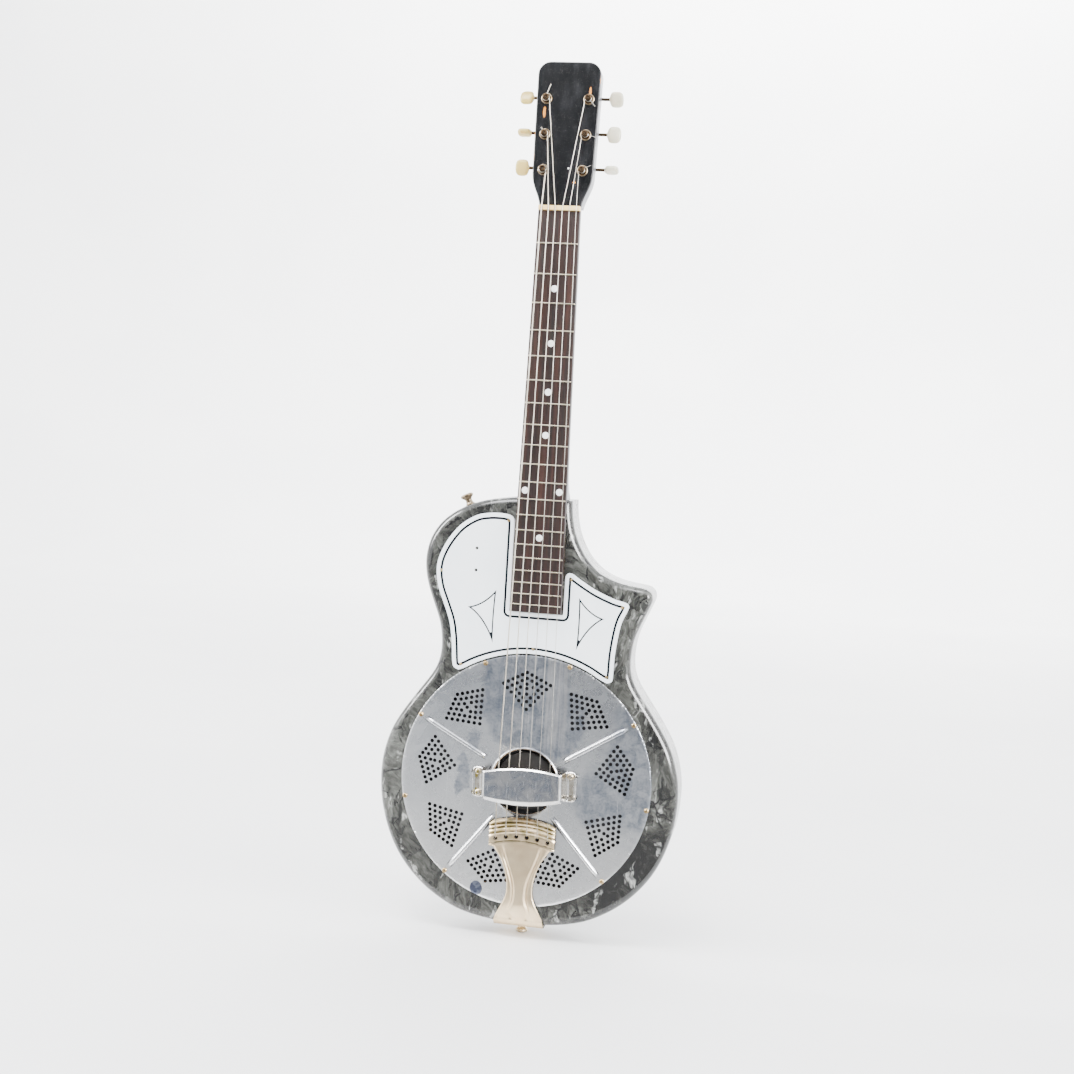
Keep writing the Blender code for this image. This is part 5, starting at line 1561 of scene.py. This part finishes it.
def knob_shape(side):
    """A flat oval knob on a short neck."""
    stations = ((0.0, 2.6, 2.1), (0.4, 3.4, 2.3), (0.9, 4.9, 2.7), (1.7, 6.5, 3.1), (3.0, 7.5, 3.4),
                (5.0, 7.9, 3.6),
                (7.4, 8.0, 3.7), (9.6, 7.8, 3.6), (11.4, 7.0, 3.4), (12.6, 5.8, 2.9), (13.3, 4.0, 2.2),
                (13.6, 1.8, 1.2))
    sections = []
    for along, broad, thick in smooth_run(stations, 3):
        section = []
        for corner in range(36):
            angle = 2 * math.pi * corner / 36
            pinch = 1.0 - 0.14 * math.cos(angle) ** 4 * smoothstep(3, 7, along)
            section.append((side * along, thick * pinch * math.cos(angle), broad * math.sin(angle)))
        sections.append(section)
    return loft(sections)


def coil_radius(number):
    """Distance from a post's axis to the middle of the string wound on it."""
    return POST_WAIST + STRING_RADII[number] + 0.04


def string_finish(number):
    return wound if number > 3 else plain_wire


def wrap_string(number, post_frame, body):
    """The string's turns round the post and its cut end, which turn with it."""
    radius = STRING_RADII[number]
    coil = coil_radius(number)
    turns = {1: 3.5, 2: 3.0, 3: 2.5, 4: 2.0, 5: 1.5, 6: 1.5}[number]
    x = post_place(number)[0]
    start = math.pi if x > 0 else 0.0
    spin = 1 if x > 0 else -1
    pitch = 2 * radius + 0.04
    top = min(STRING_ON_POST + (turns / 2) * pitch, 5.35 - radius)
    route = []
    steps = int(turns * 24)
    for step in range(steps + 1):
        angle = start + spin * 2 * math.pi * step / 24
        route.append((coil * math.cos(angle), -top + pitch * step / 24, coil * math.sin(angle)))
    shapes = [tube(route, radius, 10)]
    end = Vector((STUBS[number][0], 0, STUBS[number][1]))
    away = end.normalized()
    sag = Vector((0, -0.6, 0))
    stub = [away * -2.4, away * 2.6, end * 0.6 + sag * 0.3, end + sag]
    shapes.append(tube(rounded([point + Vector((0, -STUB_HEIGHT, 0)) for point in stub], 2.0), radius, 10))
    turns_on_post = make(f"string_turns_{number}", joined(shapes), string_finish(number), post_frame, 60.0)
    fit(turns_on_post, body)


def build_tuner_plate(name, node, numbers):
    """Strip of sheet metal with two bearing lugs for each worm shaft, held by wood screws."""
    ups = [post_place(number)[1] for number in numbers]
    side = 1 if post_place(numbers[0])[0] > 0 else -1
    low, high = min(ups) - 8.0, max(ups) + 17.0
    inner, outer, corner = 11.6, 28.4, 3.0
    outline = []
    for cx, cz, start in ((outer - corner, high - corner, 0), (outer - corner, low + corner, 90),
                          (inner + corner, low + corner, 180), (inner + corner, high - corner, 270)):
        for degrees in range(0, 91, 15):
            angle = math.radians(start + degrees)
            outline.append((side * (cx + corner * math.sin(angle)), cz + corner * math.cos(angle)))
    if side < 0:
        outline.reverse()
    front = HEAD_THICKNESS + GAP
    layers = [(outline, front), (outline, front + 0.9), (inset(outline, 0.3), front + 1.2)]
    plate = make(name, stack(layers), tuner_steel, HEAD, 40.0)
    lugs, bores = [], []
    for number in numbers:
        x, up = post_place(number)
        shaft_up = up + SHAFT_UP
        for offset in (-6.1, 6.1):
            lugs.append(lug_shape(x + offset, shaft_up, front + 0.6))
        near, far = (x - 9, GEAR_DEPTH, shaft_up), (x + 9, GEAR_DEPTH, shaft_up)
        bores.append(rod(near, far, SHAFT_RADIUS + 0.25, 20))
        bores.append(rod((x, front - 2, up), (x, front + 3, up), POST_HOLE, 28))
    combine(plate, lugs, HEAD, "UNION", sharp=40.0)
    combine(plate, bores, HEAD, sharp=40.0)
    fit(plate, replaces=[node])
    screws = []
    for place in (low + 4.0, (ups[0] + ups[1]) / 2 + 6.0, (ups[1] + ups[2]) / 2 + 6.0, high - 4.0):
        x = side * ((inner + outer) / 2 + 4.5)
        spot = HEAD @ Matrix.Translation((x, front + 1.2, place)) @ Matrix.Rotation(math.pi, 4, "Z")
        title, slot_turn = f"{name}_screw_{len(screws) + 1}", 50 * len(screws) + 15
        screws.append(round_screw(title, spot, 2.3, 1.2, 6.0, screw_nickel, slot_turn))
    for screw in screws:
        fit(screw)


def lug_shape(x, shaft_up, foot):
    """A bearing lug with a round end, standing on the plate."""
    outline = [(foot, -3.2)]
    for degrees in range(-90, 91, 15):
        angle = math.radians(degrees)
        outline.append((GEAR_DEPTH + 0.2 + 3.2 * math.cos(angle), 3.2 * math.sin(angle)))
    outline.append((foot, 3.2))
    return loft([[(x + shift, y, shaft_up + z) for y, z in outline] for shift in (-0.7, 0.7)])


# Strings

def build_string(number):
    """The string from its ball in the tailpiece over the saddle and nut to its post."""
    radius = STRING_RADII[number]
    tail_x, tail_z = tail_hole(number)
    x, up = post_place(number)
    on_post = Vector((x - math.copysign(coil_radius(number), x), -STRING_ON_POST, up))
    at_post = BRIDGE.inverted() @ HEAD @ on_post
    route = [
        (tail_x, -5.4, tail_z + 0.5), (tail_x, -8.5, tail_z + 1.0), (tail_x, -10.6, tail_z + 4.5),
        (string_x(number, BRIDGE_SPACING), -STRING_AT_SADDLE, 0.0),
        (string_x(number, NUT_SPACING), -STRING_AT_NUT, SCALE_LENGTH + 2.0), at_post,
    ]
    string = make(f"wire_{number}", tube(rounded(route, 1.6), radius, 12), string_finish(number), sharp=60.0)
    fit(string, replaces=[f"string_{number}"])
    twist = []
    for step in range(46):
        angle = step * 0.95
        along = Vector(route[2]).lerp(Vector(route[3]), 0.14 * step / 45)
        twist.append(along + Vector((math.cos(angle), 0.4 * math.sin(angle), 0)) * (radius + 0.16))
    lock = tube(twist, 0.16, 6)
    fit(make(f"wire_lock_{number}", lock, plain_wire, sharp=60.0))


# Whole instrument

rim_places = [circle_point(angle, RIM_SCREW_CIRCLE) for angle in RIM_SCREW_ANGLES]
rest_places = [rest_point(foot, REST_MIDDLE_Z + offset) for foot in (-REST_FOOT_X, REST_FOOT_X)
               for offset in (REST_SCREW_OFFSET, -REST_SCREW_OFFSET)]
build_body(body_outline(), [rod((x, -6, z), (x, 14, z), SCREW_HOLE) for x, z in rim_places])
build_neck()
build_board()
build_rests()
build_pickguard()
build_resonator(rim_places, rest_places)
build_hand_rest(rest_places)
build_tailpiece()
build_screws(rim_places, rest_places)
build_buttons_and_bolt()
build_tuner_plate("tuner_strip_treble", "tuner_plate_treble", (1, 2, 3))
build_tuner_plate("tuner_strip_bass", "tuner_plate_bass", (6, 5, 4))
for number in range(1, 7):
    build_tuner(number)
    build_string(number)

core = frame["nodes"]["body_frame"]
core.data.materials.clear()
core.data.materials.append(body_wood)


# Stage

def build_stage():
    """A pale floor that curves up all round into a wall, open above."""
    floor = Recipe("stage_pale", 0.75)
    cloud = floor.between(floor.noise(1.4, 3.0), 0.4, 0.6)
    floor.set("Base Color", floor.mix(cloud, (0.83, 0.83, 0.825), (0.80, 0.80, 0.80)))
    ground = cad_box[0].z / MM - 0.6
    profile = [(0, ground), (3600, ground)]
    for degrees in range(0, 91, 10):
        angle = math.radians(degrees)
        profile.append((3600 + 1400 * math.sin(angle), ground + 1400 * (1 - math.cos(angle))))
    profile += [(5000, 5200), (5040, 5200), (5040, ground - 40), (0, ground - 40)]
    bowl = make("stage_bowl", turned(profile, 96, "up"), floor.material, Matrix.Scale(MM, 4), 60.0)
    world = bpy.data.worlds.new("soft_room")
    world.use_nodes = True
    world.node_tree.nodes["Background"].inputs["Color"].default_value = (0.94, 0.96, 1.0, 1.0)
    world.node_tree.nodes["Background"].inputs["Strength"].default_value = 3.2
    bpy.context.scene.world = world


def build_reflector():
    """A sheet that only reflections see: pale near the guitar, darker over the floor and the front wall."""
    shade = Recipe("reflector_shade", 1.0)
    shade.set("Base Color", (0.0, 0.0, 0.0, 1.0))
    tone = shade.between(shade.axis("Y"), -0.05, -1.9)
    side = shade.between(shade.axis("X"), -0.75, 0.05)
    grey = shade.ramp(tone, (0.0, (0.80, 0.80, 0.80)), (0.18, (0.60, 0.61, 0.62)), (0.55, (0.42, 0.44, 0.47)),
                      (1.0, (0.13, 0.14, 0.16)))
    shade.set("Emission Color", grey)
    shade.set("Emission Strength", shade.maths("MULTIPLY_ADD", side, -1.1, 2.1))
    ground = cad_box[0].z / MM - 0.4
    profile = [(-60, ground), (-2400, ground)]
    for degrees in range(15, 91, 15):
        angle = math.radians(degrees)
        profile.append((-2400 - 900 * math.sin(angle), ground + 900 * (1 - math.cos(angle))))
    profile += [(-3300, 3600), (-3304, 3600), (-3304, ground - 0.1), (-60, ground - 0.1)]
    sheet = make("reflector", loft([[(x, y, z) for y, z in profile] for x in (-2600, 2600)]), shade.material,
                 Matrix.Scale(MM, 4), 40.0)
    sheet.visible_camera = False
    sheet.visible_diffuse = False
    sheet.visible_shadow = False
    sheet.visible_transmission = False


def area_light(name, place, size, power, aim=(0.0, 0.0, 0.42), glossy=True, diffuse=True):
    data = bpy.data.lights.new(name, "AREA")
    data.shape = "RECTANGLE"
    data.size, data.size_y = size
    data.energy = power
    lamp = bpy.data.objects.new(name, data)
    lamp.visible_camera = False
    lamp.visible_glossy = glossy
    lamp.visible_diffuse = diffuse
    bpy.context.collection.objects.link(lamp)
    lamp.location = place
    lamp.rotation_euler = (Vector(aim) - Vector(place)).to_track_quat("-Z", "Y").to_euler()


def build_camera():
    data = bpy.data.cameras.new("camera")
    data.lens = 52.93
    data.sensor_width = 36.0
    camera = bpy.data.objects.new("camera", data)
    bpy.context.collection.objects.link(camera)
    look = Vector((-0.1688, 0.9837, -0.0616)).normalized()
    up = Vector((-0.0697, 0.0504, 0.9963))
    right = look.cross(up).normalized()
    up = right.cross(look)
    turn = Matrix((right, up, -look)).transposed()
    camera.matrix_world = Matrix.Translation((0.2579, -1.5267, 0.4843)) @ turn.to_4x4()
    bpy.context.scene.camera = camera


build_stage()
build_reflector()
area_light("left_bank", (-2.4, -0.5, 1.6), (0.6, 2.0), 60.0)
area_light("right_bank", (2.3, -0.9, 1.5), (0.6, 2.0), 50.0)
area_light("key_top", (-0.7, -1.2, 3.4), (1.8, 1.2), 150.0)
area_light("back_top", (0.2, 3.7, 3.2), (3.4, 1.4), 420.0, aim=(0.0, 4.8, 0.9))
area_light("front_fill", (0.5, -2.6, 1.4), (1.8, 1.8), 60.0, glossy=False)
area_light("right_window", (2.0, -1.3, 1.05), (0.9, 1.3), 180.0, diffuse=False)
area_light("left_window", (-2.2, -0.7, 1.6), (0.5, 1.5), 110.0, diffuse=False)
build_camera()
